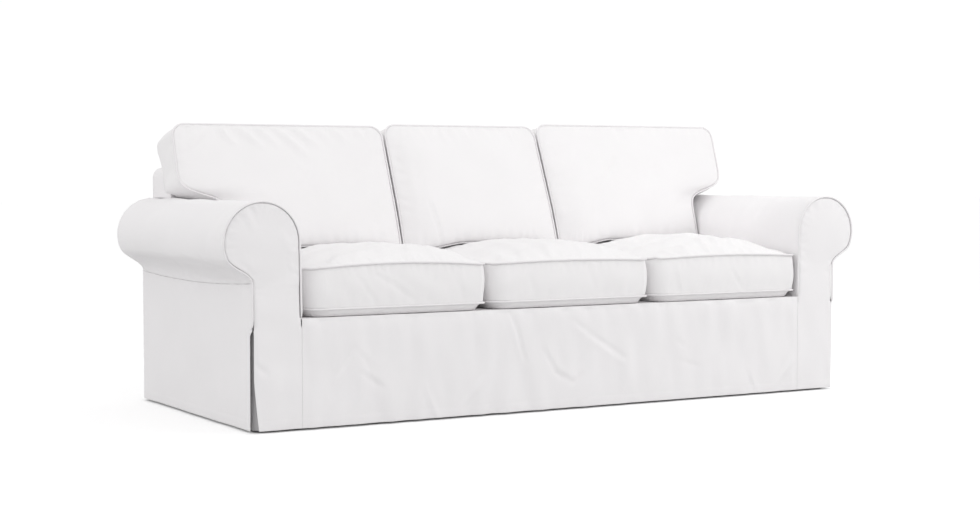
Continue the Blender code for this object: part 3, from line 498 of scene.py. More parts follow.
for side, mirror in SIDES:
    share = stations(ARM_CUT, FINE)[:, None]
    back = stations(REAR_Y - FRONT_Y, FINE)[None, :]
    y = PIPED_Y + (BACKED_Y - PIPED_Y) * back
    share, y = np.broadcast_arrays(share, y)
    x, z = arm_section(share, y)
    over = share * ARM_CUT
    ends = np.minimum(y - PIPED_Y, BACKED_Y - y)
    held = smooth(ends / 0.02) * smooth((ARM_CUT - over) / 0.015) * smooth((over - ARM_HIDDEN) / 0.02)
    relief = held * (crests(ARM_FOLDS[side], over, y) + soft_waves(over, y, 11 + mirror, 0.30, 0.0009))
    gathers = puckers(over, y - PIPED_Y, 21 + mirror, 0.030, 0.0007)
    relief = relief + gathers * smooth((over - ARM_HIDDEN) / 0.02)
    relief = relief + puckers(y, ARM_CUT - over, 31 + mirror, 0.035, 0.0008)
    panel = cloth_panel("arm_roll_" + side, (x, y, z), relief, mirror)

# ==== side panels =============================================================================
# A plain length of cotton below each arm, seamed to the cloth under the roll and hemmed at the
# floor. Its two upright edges hang free along the corner slits, and its middle sinks a little.
SIDE_X = 1.010                    # the outside of the arm at the hem
SIDE_TALL = 0.385                 # mean height of the panel
SLIT_TOP_Z = 0.272
SLIT_TOP_SHARE = 0.68             # of the way up to the seam under the roll
SLIT_FLARE_Z = 0.140              # below this the cloth on the arm's end swings away as well
NARROW_TOP_Z = 0.348              # the arm's side comes in a little up to here
# how far the side panel and the panel on the arm's end stand back from each corner at the hem
SLIT_OPEN = {"front_left": (0.015, 0.015), "front_right": (0.008, 0.002),
             "rear_left": (0.001, 0.005), "rear_right": (0.004, 0.003)}
HEM_Z = 0.028                     # the row of stitches above a hem
HEM_DEEP, HEM_WIDE = 0.0002, 0.0022           # the groove of its stitches
SIDE_SINK = 0.003                 # how far the middle of the panel sinks in
SIDE_TUCK, TUCK_WIDE = 0.0045, 0.0080         # its front edge, drawn in above the slit
# on a side panel: a is y, b is z
SIDE_FOLDS = {
    "left": (
        (-200, 20, -150, 200, 40, 1.6, 1.5), (100, 360, 50, 240, 30, 1.2, 1.5),
        (280, 20, 300, 160, 34, 1.8, -1.5), (-360, 30, -340, 260, 26, 1.2, -1.5),
    ),
    "right": (
        (-250, 20, -220, 180, 38, 1.8, 1.5), (150, 360, 220, 220, 30, 1.4, 1.5),
        (50, 10, 20, 140, 30, 2.0, -1.5),
    ),
}


def slit_gape(z, corner, panel):
    """How far an edge stands back from its corner at height z.

    A side panel falls back at once below the top of the slit, and an end panel flares low down.
    """
    side_open, end_open = SLIT_OPEN[corner]
    start = smooth((SLIT_TOP_Z - z) / 0.014)
    if panel == "side":
        return side_open * start
    return end_open * (0.08 * start + 0.92 * np.clip(1.0 - z / SLIT_FLARE_Z, 0.0, 1.0) ** 1.2)


def arm_outer_x(z):
    """Outside of an arm below the roll: it comes in half a millimetre on its way up."""
    return SIDE_X - (SIDE_X - SEAM_X) * np.clip(z / NARROW_TOP_Z, 0.0, 1.0)


def hem_line(z):
    """The turned hem: a shallow groove along its stitches, and a thicker edge below them."""
    stitches = np.exp(-(((z - HEM_Z) / HEM_WIDE) ** 2))
    return -HEM_DEEP * stitches + HEM_DEEP * smooth((HEM_Z - z) / 0.006)


for side, mirror in SIDES:
    back = stations(REAR_Y - FRONT_Y, FINE)[:, None]
    up = stations(SIDE_TALL, FINE, close=(HEM_Z / SIDE_TALL, SLIT_TOP_SHARE))[None, :]
    edge_z = up * (SEAM_Z - SEAM_GAP)
    y_front = PIPED_Y + slit_gape(edge_z, "front_" + side, "side")
    y_rear = BACKED_Y - slit_gape(edge_z, "rear_" + side, "side")
    y = y_front + back * (y_rear - y_front)
    z = up * (seam_height(y) - SEAM_GAP)
    x = arm_outer_x(z) - SIDE_SINK * np.sin(math.pi * up) * np.sin(math.pi * back) ** 0.5
    edges = np.minimum(y - y_front, y_rear - y)
    held = smooth((seam_height(y) - z) / 0.03) * smooth(edges / 0.03)
    relief = held * (crests(SIDE_FOLDS[side], y, z) + soft_waves(y, z, 41 + mirror, 0.35, 0.0010))
    relief = relief + puckers(y, seam_height(y) - z, 43 + mirror, 0.035, 0.0007) + hem_line(z)
    tuck = SIDE_TUCK * np.exp(-(y - y_front) / TUCK_WIDE)
    relief = relief - tuck * smooth((z - SLIT_TOP_Z - 0.012) / 0.01)
    panel = cloth_panel("side_panel_" + side, (x, y, z), relief, mirror)

# ==== arm fronts ==============================================================================
# A scroll-shaped panel on the front of each arm, from the floor to the top of the roll, piped
# round the scroll. It swells a little over the roll's end, and short gathers run in from the cord.
CORD_RADIUS = 0.0028
CORD_IN = 0.0005                  # the cord's axis lies this far inside the face of the roll
FRONT_EDGE = CORD_IN + CORD_RADIUS + CLEAR    # and the panel ends this far inside it
FRONT_TUCK = 0.0020               # how far its outer edge is drawn in between slit and roll
FRONT_SWELL = 0.005               # how far it swells at the middle of the roll
ARM_WIDE = 0.15                   # mean width of an arm's end
GROOVE, GROOVE_BELOW = 0.0024, 0.0028         # along the cord, and what is added below the roll
# on an arm front: a is x, b is z
FRONT_FOLDS = {
    "left": (
        (-1030, 590, -1008, 545, 8, 2.6, -1.5), (-1010, 595, -998, 560, 6, -1.5, 0),
        (-925, 530, -893, 480, 10, 2.3, 1.5), (-905, 470, -890, 430, 8, 1.6, 1.5),
        (-1004, 180, -968, 154, 9, -2.3, 1.5), (-1045, 455, -1015, 430, 9, -1.9, 1.4),
        (-960, 20, -950, 200, 26, 1.8, 1.5), (-905, 20, -915, 150, 20, -1.4, 1.5),
    ),
    "right": (
        (930, 20, 935, 220, 24, 1.6, 1.5), (1050, 560, 1020, 535, 9, 1.0, 1.5),
        (905, 560, 925, 535, 9, 1.0, 1.5), (980, 30, 975, 120, 18, -1.4, 1.5),
    ),
}


def inset_line(x, z, inset):
    """The same line moved square to itself, to its right-hand side when it runs upwards."""
    run_x, run_z = np.gradient(x), np.gradient(z)
    length = np.hypot(run_x, run_z)
    return x + inset * run_z / length, z - inset * run_x / length


def scroll_edges(inset):
    """Inner and outer edge of an arm's end, each as x against z, from the floor to the top."""
    share = np.linspace(0.0, 1.0, 400)
    x, z = arm_section(share, np.full(400, FRONT_Y))
    x, z = inset_line(x, z, inset)
    top = int(np.argmax(z))
    inner = np.concatenate([[[ARM_FOOT_X, 0.0], [ARM_FOOT_X, DECK_Z - 0.0005]],
                            np.stack([x[:top + 1], z[:top + 1]], 1)[z[:top + 1] > DECK_Z + 0.0005]])
    floor_z = np.linspace(0.0, z[-1] - 0.004, 12)
    outer = np.concatenate([np.stack([arm_outer_x(floor_z) - inset, floor_z], 1),
                            np.stack([x[:top - 1:-1], z[:top - 1:-1]], 1)])
    return inner, outer


def arm_end(corner, step, inset, slack=0.0, tuck=0.0):
    """Grids over one end of an arm, between the inner and the outer edge of its scroll.

    Their rows are even up to the roll and closer towards its top. They are x, z, the distance
    from the rim less the slack, the way along the rim, and the distance from the roll's middle in
    radii. Between the slit and the roll the outer edge is drawn in by the tuck.
    """
    inner, outer = scroll_edges(inset)
    low = stations(ROLL_Z, step, close=(HEM_Z / ROLL_Z,))
    turn = np.linspace(0.0, 0.485 * math.pi, round(0.17 / step))
    upper = ROLL_Z + (inner[-1, 1] - ROLL_Z) * np.sin(turn)
    z = np.concatenate([low[low < 0.99] * ROLL_Z, upper])[None, :]
    x_inner = np.interp(z, inner[:, 1], inner[:, 0])
    x_outer = np.interp(z, outer[:, 1], outer[:, 0]) - slit_gape(z, corner, "end")
    x_outer = x_outer - tuck * smooth((z - SLIT_TOP_Z + 0.004) / 0.01) * smooth((0.405 - z) / 0.02)
    across = stations(ARM_WIDE, step)[:, None]
    x, z = np.broadcast_arrays(x_inner + across * (x_outer - x_inner), z)
    from_middle = np.hypot(x - ROLL_X, z - ROLL_Z) / ROLL_RADIUS
    rim = np.minimum(x - x_inner, x_outer - x)
    rim = np.where(z > ROLL_Z, np.minimum(rim, (1.0 - from_middle) * ROLL_RADIUS - slack), rim)
    round_way = np.where(z > ROLL_Z, ROLL_RADIUS * np.arctan2(z - ROLL_Z, x - ROLL_X), z)
    return x, z, np.maximum(rim, 0.0), round_way, from_middle


for side, mirror in SIDES:
    grids = arm_end("front_" + side, 0.0055, FRONT_EDGE, slack=FRONT_EDGE, tuck=FRONT_TUCK)
    x, z, rim, round_way, from_middle = grids
    y = FRONT_Y - FRONT_SWELL * np.clip(1.0 - from_middle ** 2, 0.0, 1.0)
    fine = crests(FRONT_FOLDS[side], mirror * x, z) + soft_waves(x, z, 51 + mirror, 0.22, 0.0008)
    relief = smooth(rim / 0.012) * fine
    gathers = puckers(round_way, rim, 53 + mirror, 0.026, 0.0010, 0.024)
    relief = relief + gathers * smooth((z - 0.33) / 0.05)
    groove = GROOVE + GROOVE_BELOW * smooth((0.41 - z) / 0.03)
    relief = relief + hem_line(z) - groove * np.exp(-rim / 0.0030) * smooth((z - SLIT_TOP_Z) / 0.01)
    panel = cloth_panel("arm_front_" + side, (x, y, z), relief, mirror)

# ==== cord round the arm fronts ===============================================================
# Piping: a soft cord in a bias-cut strip of the same cotton, caught in the seam round the scroll.
# It runs from the seat, over the roll, to the top of the corner slit, and turns in at both ends.
CORD_Y = FRONT_Y + 0.0008
CORD_STEP, CORD_SIDES = 0.0045, 10
TAIL_TOP_Z = 0.394                # where the cord leaves the scroll for the slit


def evenly(path, step, closed=False):
    """The path again with its points a step apart, and its length."""
    if closed:
        path = np.concatenate([path, path[:1]])
    way = lengths_along(path, 0)
    count = max(8, round(way[-1] / step))
    at = np.linspace(0.0, way[-1], count + 1)
    if closed:
        at = at[:-1]
    return np.stack([np.interp(at, way, path[:, k]) for k in range(3)], 1), way[-1]


cord_cotton = cotton("cord_cotton", (0.880, 0.862, 0.871), pitch=0.0009, mottle=0.03, roughness=0.86)


def piping_cord(node, path, square_to, seed, closed=True):
    """A tube along a path: rings of points round it, swelling by 5 % where the strip is fuller.

    The swelling is a sum of waves along the cord and round it, whole numbers of them on a closed
    cord. An open cord narrows to a point over its last four rings.
    """
    path, length = evenly(path, CORD_STEP, closed)
    count = len(path)
    spans = count if closed else count - 1
    tangent = unit(np.roll(path, -1, 0) - np.roll(path, 1, 0) if closed else np.gradient(path, axis=0))
    across = unit(np.cross(tangent, square_to))
    upright = np.cross(across, tangent)
    turn = np.arange(CORD_SIDES) * 2.0 * math.pi / CORD_SIDES
    way = np.arange(count)[:, None] / count
    draw = np.random.default_rng(seed)
    fuller = 0.0
    for k in range(7):
        waves = round(length / draw.uniform(0.02, 0.09))
        twist = draw.integers(0, 3) * turn
        fuller = fuller + np.sin(2 * math.pi * way * waves + twist + draw.uniform(0, 6.28))
    radius = CORD_RADIUS * (1.0 + 0.02 * fuller)
    if not closed:
        from_end = np.minimum(np.arange(count), np.arange(count)[::-1])[:, None]
        radius = radius * np.sqrt(np.clip((from_end + 0.15) / 4.0, 0.0, 1.0))
    rings = (path[:, None] + (radius * np.cos(turn))[..., None] * across[:, None]
             + (radius * np.sin(turn))[..., None] * upright[:, None])
    points = rings.reshape(-1, 3)
    ring = np.arange(spans)[:, None] * CORD_SIDES
    here, beside = ring + np.arange(CORD_SIDES), ring + (np.arange(CORD_SIDES) + 1) % CORD_SIDES
    total = count * CORD_SIDES
    ahead, ahead_beside = (here + CORD_SIDES) % total, (beside + CORD_SIDES) % total
    quads = np.stack([here, ahead, ahead_beside, beside], 2).reshape(-1, 4)
    girth = 2.0 * math.pi * CORD_RADIUS
    along = np.repeat(np.arange(spans) * length / count, CORD_SIDES)
    round_it = np.tile(np.arange(CORD_SIDES) * girth / CORD_SIDES, spans)
    gain, arc = length / count, girth / CORD_SIDES
    cloth_uv = np.stack([np.stack([along + a * gain, round_it + b * arc], 1)
                         for a, b in ((0, 0), (1, 0), (1, 1), (0, 1))], 1)
    if not closed:
        half = np.arange(0, CORD_SIDES // 2 - 1)
        cap = np.stack([half, half + 1, CORD_SIDES - 2 - half, CORD_SIDES - 1 - half], 1)
        quads = np.concatenate([quads, cap, (total - CORD_SIDES + cap)[:, ::-1]])
        cloth_uv = np.concatenate([cloth_uv, np.zeros((2 * len(cap), 4, 2))])
    # painted shade: the half of each cord that faces square_to, towards the cloth it lies against, is
    # darker
    worn_and_seam_shade = np.broadcast_to(0.5 + 0.5 * np.sin(turn), (count, CORD_SIDES))
    cord = sewn_mesh(node + "_welt", points, quads, cloth_uv, worn_and_seam_shade)
    return fit_piece(cord, node, cord_cotton)


for side, mirror in SIDES:
    share = np.linspace(0.0, 1.0, 300)
    x, z = arm_section(share, np.full(300, FRONT_Y))
    x, z = inset_line(x, z, CORD_IN)
    x, z = x[z > DECK_Z + 0.001], z[z > DECK_Z + 0.001]
    tail_z = np.linspace(TAIL_TOP_Z, SLIT_TOP_Z + 0.001, 30)
    turned = smooth((SLIT_TOP_Z + 0.013 - tail_z) / 0.012)
    tail_x, tail_y = SEAM_X - CORD_IN + 0.002 * turned, CORD_Y + 0.008 * turned
    path = np.stack([np.concatenate([x, tail_x]),
                     np.concatenate([np.full(len(x), CORD_Y), tail_y]),
                     np.concatenate([z, tail_z])], 1)
    path[:, 0] *= mirror
    piping_cord("arm_piping_" + side, path, (0.0, 1.0, 0.0), 61 + mirror, closed=False)

# ==== corner underlays ========================================================================
# A strip of the same cotton behind each corner slit, turning the corner in a soft round, so that
# the frame never shows where the skirt opens. It is caught in the seams above the slit. Its colour
# is a mid grey, painted shade for the dark inside of the slit.
UNDERLAY_REACH, UNDERLAY_ROUND = 0.075, 0.050
UNDERLAY_IN = 0.0065              # how far behind the side panel it lies
UNDERLAY_ABOVE = 0.012            # how far it goes on above the slit
# mid grey: painted shade for the dark inside of the slits; the cloth is the same white cotton
underlay_painted_shade_cotton = cotton("underlay_painted_shade_cotton", (0.50, 0.49, 0.50))

for corner in SLIT_OPEN:
    end, side = corner.split("_")
    face_x, face_y = SIDE_X - UNDERLAY_IN, BACKED_Y - CLEAR
    top = SLIT_TOP_Z + UNDERLAY_ABOVE
    way = stations(0.20, 0.008)[:, None]
    up = stations(top, 0.012)[None, :]
    way, up = np.broadcast_arrays(way, up)
    straight = UNDERLAY_REACH - UNDERLAY_ROUND
    bend = 0.5 * math.pi * UNDERLAY_ROUND
    along = way * (2.0 * straight + bend)
    turned = np.clip((along - straight) / bend, 0.0, 1.0) * 0.5 * math.pi
    past = np.maximum(along - straight - bend, 0.0)
    x = face_x - UNDERLAY_REACH + np.minimum(along, straight) + UNDERLAY_ROUND * np.sin(turned)
    y = face_y - UNDERLAY_ROUND * (1.0 - np.cos(turned)) - past
    relief = soft_waves(along, up * top, 71 + len(corner), 0.12, 0.0006) - 0.0008
    layout = [x, -y if end == "front" else y, up * top, relief]
    x, y, z, relief = layout if end == "front" else [grid[::-1] for grid in layout]
    panel = cloth_panel("underlay_" + corner, (x, y, z), relief, 1 if side == "right" else -1,
                        underlay_painted_shade_cotton)

# ==== front skirt =============================================================================
# The panel between the arms, from the edge of the seat to the floor. It hangs from its upper
# seam, so it is smooth and a little proud there and falls in soft upright folds lower down.
SKIRT_HALF = ARM_FOOT_X - CLEAR
SKIRT_PROUD = 0.0022              # how far it stands out below its seam
# on the skirt: a is x, b is z
SKIRT_FOLDS = (
    (-835, -10, -825, 120, 20, 4.8), (-762, -10, -748, 150, 22, 5.1, 1.5),
    (-695, -10, -690, 140, 20, 4.2, 1.5), (-600, -10, -630, 150, 24, 5.1, 1.5),
    (-505, -10, -500, 130, 22, 3.9), (-400, -10, -385, 160, 26, 4.5, 1.5),
    (-300, -10, -285, 180, 26, 4.2, 1.5), (-215, -10, -225, 140, 26, 3.6, 1.5),
    (-110, -10, -115, 120, 28, 3.9, 1.5), (60, -10, 50, 120, 28, 3.9, 1.5),
    (190, -10, 200, 140, 26, 4.2, 1.5), (300, -10, 310, 170, 28, 4.2, 1.5),
    (400, -10, 395, 140, 24, 3.6, 1.5), (500, -10, 510, 160, 28, 3.9, 1.5),
    (600, -10, 600, 120, 24, 3.6, 1.5), (740, -10, 735, 120, 24, 3.6, 1.5),
    (-208, 291, -178, 220, 7, -3.1, -1.6), (-182, 225, -157, 150, 7, -3.4, -1.6),
    (-88, 169, -47, 105, 9, -3.4), (-47, 105, 10, 75, 9, -3.4), (10, 75, 38, 97, 8, -1.9),
    (16, 253, 62, 222, 8, -2.2, -1.6), (72, 214, 192, 140, 9, -3.4, -1.6), (-712, 212, -755, 145, 9, -3.1),
    (-685, 141, -620, 96, 9, -2.6), (-488, 93, -449, 8, 9, 2.9), (-298, 102, -361, 34, 9, 2.6, -1.6),
    (666, 65, 686, 13, 7, -2.6), (839, 93, 783, 26, 9, 2.9), (-700, 205, -660, 160, 9, -1.7),
    (390, 180, 410, 165, 9, -1.7, 1.5), (400, 118, 480, 95, 9, -1.4, 1.5),
)


def side_to_side(half, step):
    """Stations over a panel's whole width, from -1 to 1."""
    return stations(2.0 * half, step) * 2.0 - 1.0


x = side_to_side(SKIRT_HALF, 0.0055)[:, None] * SKIRT_HALF
z = stations(DECK_Z, 0.0055, close=(HEM_Z / DECK_Z,))[None, :] * DECK_Z
x, z = np.broadcast_arrays(x, z)
held = smooth((SKIRT_HALF - np.abs(x)) / 0.025) * smooth((DECK_Z - z) / 0.012)
relief = held * (crests(SKIRT_FOLDS, x, z) + soft_waves(x, 0.35 * z, 81, 0.13, 0.0014))
relief = relief + held * SKIRT_PROUD * smooth((DECK_Z - z) / 0.03) * smooth((z - 0.14) / 0.12)
relief = relief + puckers(x, DECK_Z - z, 82, 0.030, 0.0006) + hem_line(z)
skirt = cloth_panel("front_skirt", (x, FRONT_Y, z), relief)

# ==== seat deck ===============================================================================
# A plain flat cloth between the arms that the seat cushions lie on. It is sewn to the skirt, the
# arms and the inside back, and is hidden except at its edges.
LEAN = 0.325                      # backward lean of the inside back, run over rise
LEAN_Y, LEAN_Z = 0.212, 0.444     # a place on it
DECK_INSET = 0.0028               # how far behind the skirt's face it starts
deck_cotton = cotton("deck_cotton", (0.845, 0.827, 0.836))
rear_y = LEAN_Y + LEAN * (UNDER_DECK_Z - LEAN_Z) - CLEAR
x = side_to_side(SKIRT_HALF, COARSE)[:, None] * SKIRT_HALF
y = FRONT_Y + DECK_INSET + stations(rear_y - FRONT_Y, COARSE)[None, :] * (rear_y - FRONT_Y - DECK_INSET)
x, y = np.broadcast_arrays(x, y)
relief = -0.0004 - np.abs(soft_waves(x, y, 85, 0.25, 0.0004))
deck = cloth_panel("seat_deck", (x, y, DECK_Z), relief, material=deck_cotton)

# ==== the back ================================================================================
# Three pieces over the sofa's back: a leaning inside panel behind the cushions, a band over the
# top and down its two ends, and a flat outside panel to the floor. The outside shows from behind.
BACK_HALF = 0.975
BACK_TOP_Z = 0.709
BACK_ROUND = 0.028                # radius of the back's upper corners
BAND_INSET = 0.0029               # how far behind the inside back's face the band starts
# on the outside back: a is x, b is z
REAR_FOLDS = (
    (-700, 20, -680, 240, 42, 2.6, 1.5), (-420, 10, -450, 200, 40, 2.4, -1.5),
    (-100, 10, -120, 260, 44, 2.6, 1.5), (220, 10, 200, 180, 40, 2.2, 1.5),
    (520, 20, 550, 240, 44, 2.6, -1.5), (780, 10, 760, 160, 36, 2.2, 1.5),
    (-860, 600, -700, 500, 30, 1.8, 1.5), (880, 580, 720, 470, 30, 1.8, -1.5),
    (-300, 620, -220, 480, 34, 1.4, 1.5), (400, 600, 340, 440, 34, 1.4, 1.5),
)


def inside_back_y(z):
    """Depth of the leaning inside back at height z."""
    return LEAN_Y + LEAN * (z - LEAN_Z)


def back_outline(foot_z):
    """Right half of the back's outline: up between the arms, round the roll, out and over."""
    turn = np.linspace(math.pi, math.pi * (1.0 - 7.0 / 16.0), 24)
    clear = ROLL_RADIUS + SEAM_GAP
    corner = np.linspace(0.0, 0.5 * math.pi, 10)
    foot = [(SKIRT_HALF, foot_z), (SKIRT_HALF, max(foot_z, UNDER_DECK_Z) + 0.0001)]
    return np.concatenate([
        foot,
        np.stack([ROLL_X + clear * np.cos(turn), ROLL_Z + clear * np.sin(turn)], 1),
        [(BACK_HALF, ROLL_Z + clear)],
        np.stack([BACK_HALF - BACK_ROUND * (1.0 - np.cos(corner)),
                  BACK_TOP_Z - BACK_ROUND * (1.0 - np.sin(corner))], 1),
    ])


def spread_line(line, share):
    """Points at shares of the length of an x-z line."""
    way = lengths_along(line, 0)
    return np.interp(share * way[-1], way, line[:, 0]), np.interp(share * way[-1], way, line[:, 1])


half_x, height = spread_line(back_outline(UNDER_DECK_Z), stations(0.60, 0.012)[None, :])
across = side_to_side(BACK_HALF, 0.016)[:, None]
x, z = np.broadcast_arrays(across * half_x, height)
relief = soft_waves(x, z, 91, 0.3, 0.0003) - 0.0006
inside = cloth_panel("inside_back", (x, inside_back_y(z), z), relief)

half = back_outline(DECK_Z)
end = np.concatenate([[(BACK_HALF, ROLL_Z + ROLL_RADIUS + SEAM_GAP)], half[-10:]])
outline = np.concatenate([end * (-1.0, 1.0), end[::-1]])
band_x, band_z = spread_line(outline, stations(2.15, 0.0075)[:, None])
front_y = inside_back_y(band_z) + BAND_INSET
y = front_y + stations(0.14, 0.0075)[None, :] * (BACKED_Y - front_y)
x, z, y = np.broadcast_arrays(band_x, band_z, y)
sides = np.minimum(y - front_y, BACKED_Y - y)
relief = smooth(sides / 0.012) * soft_waves(x + z, y, 93, 0.20, 0.0010)
relief = relief + puckers(x + z, sides, 94, 0.028, 0.0008)
band = cloth_panel("back_band", (x, y, z), relief)

half_x, height = spread_line(back_outline(0.0), stations(0.87, 0.0085, close=(0.032,))[:, None])
across = side_to_side(BACK_HALF, 0.0085)[None, :]
x, z = np.broadcast_arrays(across * half_x, height)
edge = np.minimum(half_x - np.abs(x), BACK_TOP_Z - z)
held = smooth(edge / 0.03)
relief = held * (crests(REAR_FOLDS, x, z) + soft_waves(x, 0.5 * z, 95, 0.34, 0.0012)) - 0.0002
relief = relief + puckers(x, BACK_TOP_Z - z, 96, 0.032, 0.0009) + hem_line(z)
outside = cloth_panel("outside_back", (x, REAR_Y, z), relief)

# ==== arm backs ===============================================================================
# The rear end of each arm: the same scroll as the front, in the same cotton but unpiped. It is
# seamed to the cloth over the arm and to the outside back, and hangs free at the rear slit.
for side, mirror in SIDES:
    x, z, rim, round_way = (grid.T for grid in arm_end("rear_" + side, 0.0075, 0.0004)[:4])
    relief = smooth(rim / 0.012) * soft_waves(x, z, 97 + mirror, 0.22, 0.0010) - 0.0002
    relief = relief + puckers(round_way, rim, 99 + mirror, 0.026, 0.0009, 0.024) + hem_line(z)
    panel = cloth_panel("arm_back_" + side, (x, REAR_Y, z), relief, mirror)

# ==== seat cushions ===========================================================================
# Three box cushions of foam in a soft wrap, in removable covers: a crowned top, a band round the
# sides and an underside that sags to the deck. The back cushions press their rear flat.
CORD_CLEAR = CORD_RADIUS + 0.0006             # from a cushion's seam to the axis of its cord
CORD_INSET = CORD_CLEAR + CORD_RADIUS         # and to the outside of the cord
SEAT_FRONT_Y = FRONT_Y + CORD_CLEAR + CORD_RADIUS
SEAT_REAR_TOP_Y, SEAT_REAR_BASE_Y = 0.190, 0.158
SEAT_TOP_Z, SEAT_BASE_Z, SEAT_REST_Z = 0.4315, 0.3206, 0.466      # both seams, and the flat rear
SEAT_TALL = 0.112                 # height of the band
SEAT_ROUND, SEAT_ROUND_RIGHT = 0.050, 0.014   # left and right corners, seen from above
SEAT_STEEP = (1.6, 1.2)           # power and softness of the crown's left side
LENGTHWISE = (3.0, 0.75)          # and of its run from front to rear
PRESSED_FROM, PRESSED_OVER = 0.25, 0.35       # shares of the half depth: where the rear goes flat
FREE_RISE = 0.040                 # how far above that the cushion may rise in front
PRESSED_SOFT = 0.0035             # rounding between the two
UNDER_DROP, UNDER_SLOPE = 0.150, 0.045        # how steeply the underside leaves the base seam
BOX_BULGE = 0.005                 # how far a cushion's band swells between its seams
# x of both sides, rise of the top seam at mid width, height of the crown, and how squarely it
# falls at the right side
SEATS = {
    "left": (-0.8505, -0.2835, 0.012, 0.048, 5.0, 0.55),
    "middle": (-0.2700, 0.2860, 0.006, 0.053, 3.6, 0.65),
    "right": (0.3020, 0.8585, 0.008, 0.056, 3.0, 0.75),
}
# on the tops: a is x, b is y
SEAT_FOLDS = (
    (-760, -400, -700, -300, 12, 2.6), (-690, -410, -640, -310, 12, 2.6), (-600, -410, -555, -290, 13, 2.9),
    (-520, -410, -460, -270, 13, 3.2), (-440, -400, -375, -220, 15, 3.8), (-350, -400, -320, -240, 14, 3.2),
    (-220, -410, -180, -330, 11, 2.6), (-150, -410, -100, -300, 12, 2.9), (-60, -410, -20, -320, 12, 2.6),
    (60, -410, 100, -300, 12, 2.6), (130, -410, 190, -280, 12, 3.5), (210, -410, 250, -300, 11, 2.9),
    (380, -410, 400, -340, 11, 2.6), (440, -410, 480, -320, 12, 2.9), (520, -410, 580, -280, 12, 4.5),
    (570, -410, 640, -270, 12, 4.5), (630, -410, 690, -290, 11, 3.8), (700, -410, 750, -300, 11, 3.8),
    (760, -410, 790, -330, 10, 2.9),
)
# on the front of the bands: a is x, b is z
BAND_FOLDS = (
    (-690, 401, -641, 336, 7, -2.2), (-641, 411, -582, 381, 7, -2.2), (-582, 381, -528, 343, 7, -2.4),
    (373, 418, 403, 326, 6, -2.6), (600, 394, 640, 337, 7, -2.2), (-400, 420, -360, 350, 9, -1.2),
    (60, 420, 90, 340, 10, -1.2), (-150, 415, -120, 345, 10, -1.0), (480, 420, 470, 340, 10, 1.2),
    (-790, 410, -800, 345, 8, 1.2),
)


def crown(place, power, soften):
    """A crown's rise from seam to seam: (1 - |s|^power)^soften, s running from -1 to 1."""
    return np.clip(1.0 - np.abs(place) ** power, 0.0, 1.0) ** soften


def seat_swell(u, v, power, soften):
    """A seat cushion's crown: its run across times its run lengthwise, u and v from -1 to 1."""
    steep, steep_soften = SEAT_STEEP
    across = crown(u, np.where(u < 0.0, steep, power), np.where(u < 0.0, steep_soften, soften))
    return across * crown(v, *LENGTHWISE)


def corner_stations(half, radius, count, turns=6):
    """Places from -half to half: even turns inside the rounded corners, even steps between."""
    corner = radius * (1.0 - np.cos(np.linspace(0.0, 0.5 * math.pi, turns + 1)))
    middle = np.linspace(-half + radius, half - radius, count)
    return np.concatenate([-half + corner[:-1], middle, (half - corner[:-1])[::-1]])


def corner_cut(distance, radius):
    """How far a rounded corner draws an edge in: r - sqrt(r^2 - (r - d)^2)."""
    return radius * (1.0 - np.sqrt(1.0 - np.clip(1.0 - distance / radius, 0.0, 1.0) ** 2))


def border(grid):
    """The points round the border of a grid, once round."""
    return grid.reshape(-1, *grid.shape[2:])[rim_of(*grid.shape[:2])]


def outward(loop, square_to):
    """Unit vectors square to a loop, away from its middle."""
    away = unit(np.cross(np.roll(loop, -1, 0) - np.roll(loop, 1, 0), square_to))
    return away if np.sum(away * (loop - loop.mean(0))) > 0 else -away


def loop_way(loop):
    """Distance round a closed loop to each of its points, and the whole way round."""
    steps = np.linalg.norm(np.roll(loop, -1, 0) - loop, axis=1)
    return np.concatenate([[0.0], np.cumsum(steps)[:-1]]), steps.sum()


def cushion_relief(folds, a, b, side_in, end_in, still, seed, waves, end_gathers, side_gathers):
    """Folds and unevenness that fade out at a cushion's seams, and the gathers along them.

    a and side_in run across, b and end_in lengthwise. Gives the relief, and how free it is.
    """
    free = smooth(side_in / 0.02) * smooth(end_in / still)
    relief = free * (crests(folds, a, b) + soft_waves(a, b, seed, *waves))
    relief = relief + puckers(a, end_in, seed + 10, *end_gathers) * smooth(side_in / 0.03)
    return relief + puckers(b, side_in, seed + 20, *side_gathers) * smooth(end_in / 0.03), free


cushion_cotton = cotton("cushion_cotton", (0.898, 0.884, 0.889))


def cushion_band(face, rear, count):
    """Rings of points round a cushion's band, evenly between its seams, and the share of each."""
    share = np.linspace(0.0, 1.0, count + 2)[1:-1, None]
    return border(face) + share[..., None] * (border(rear) - border(face)), share


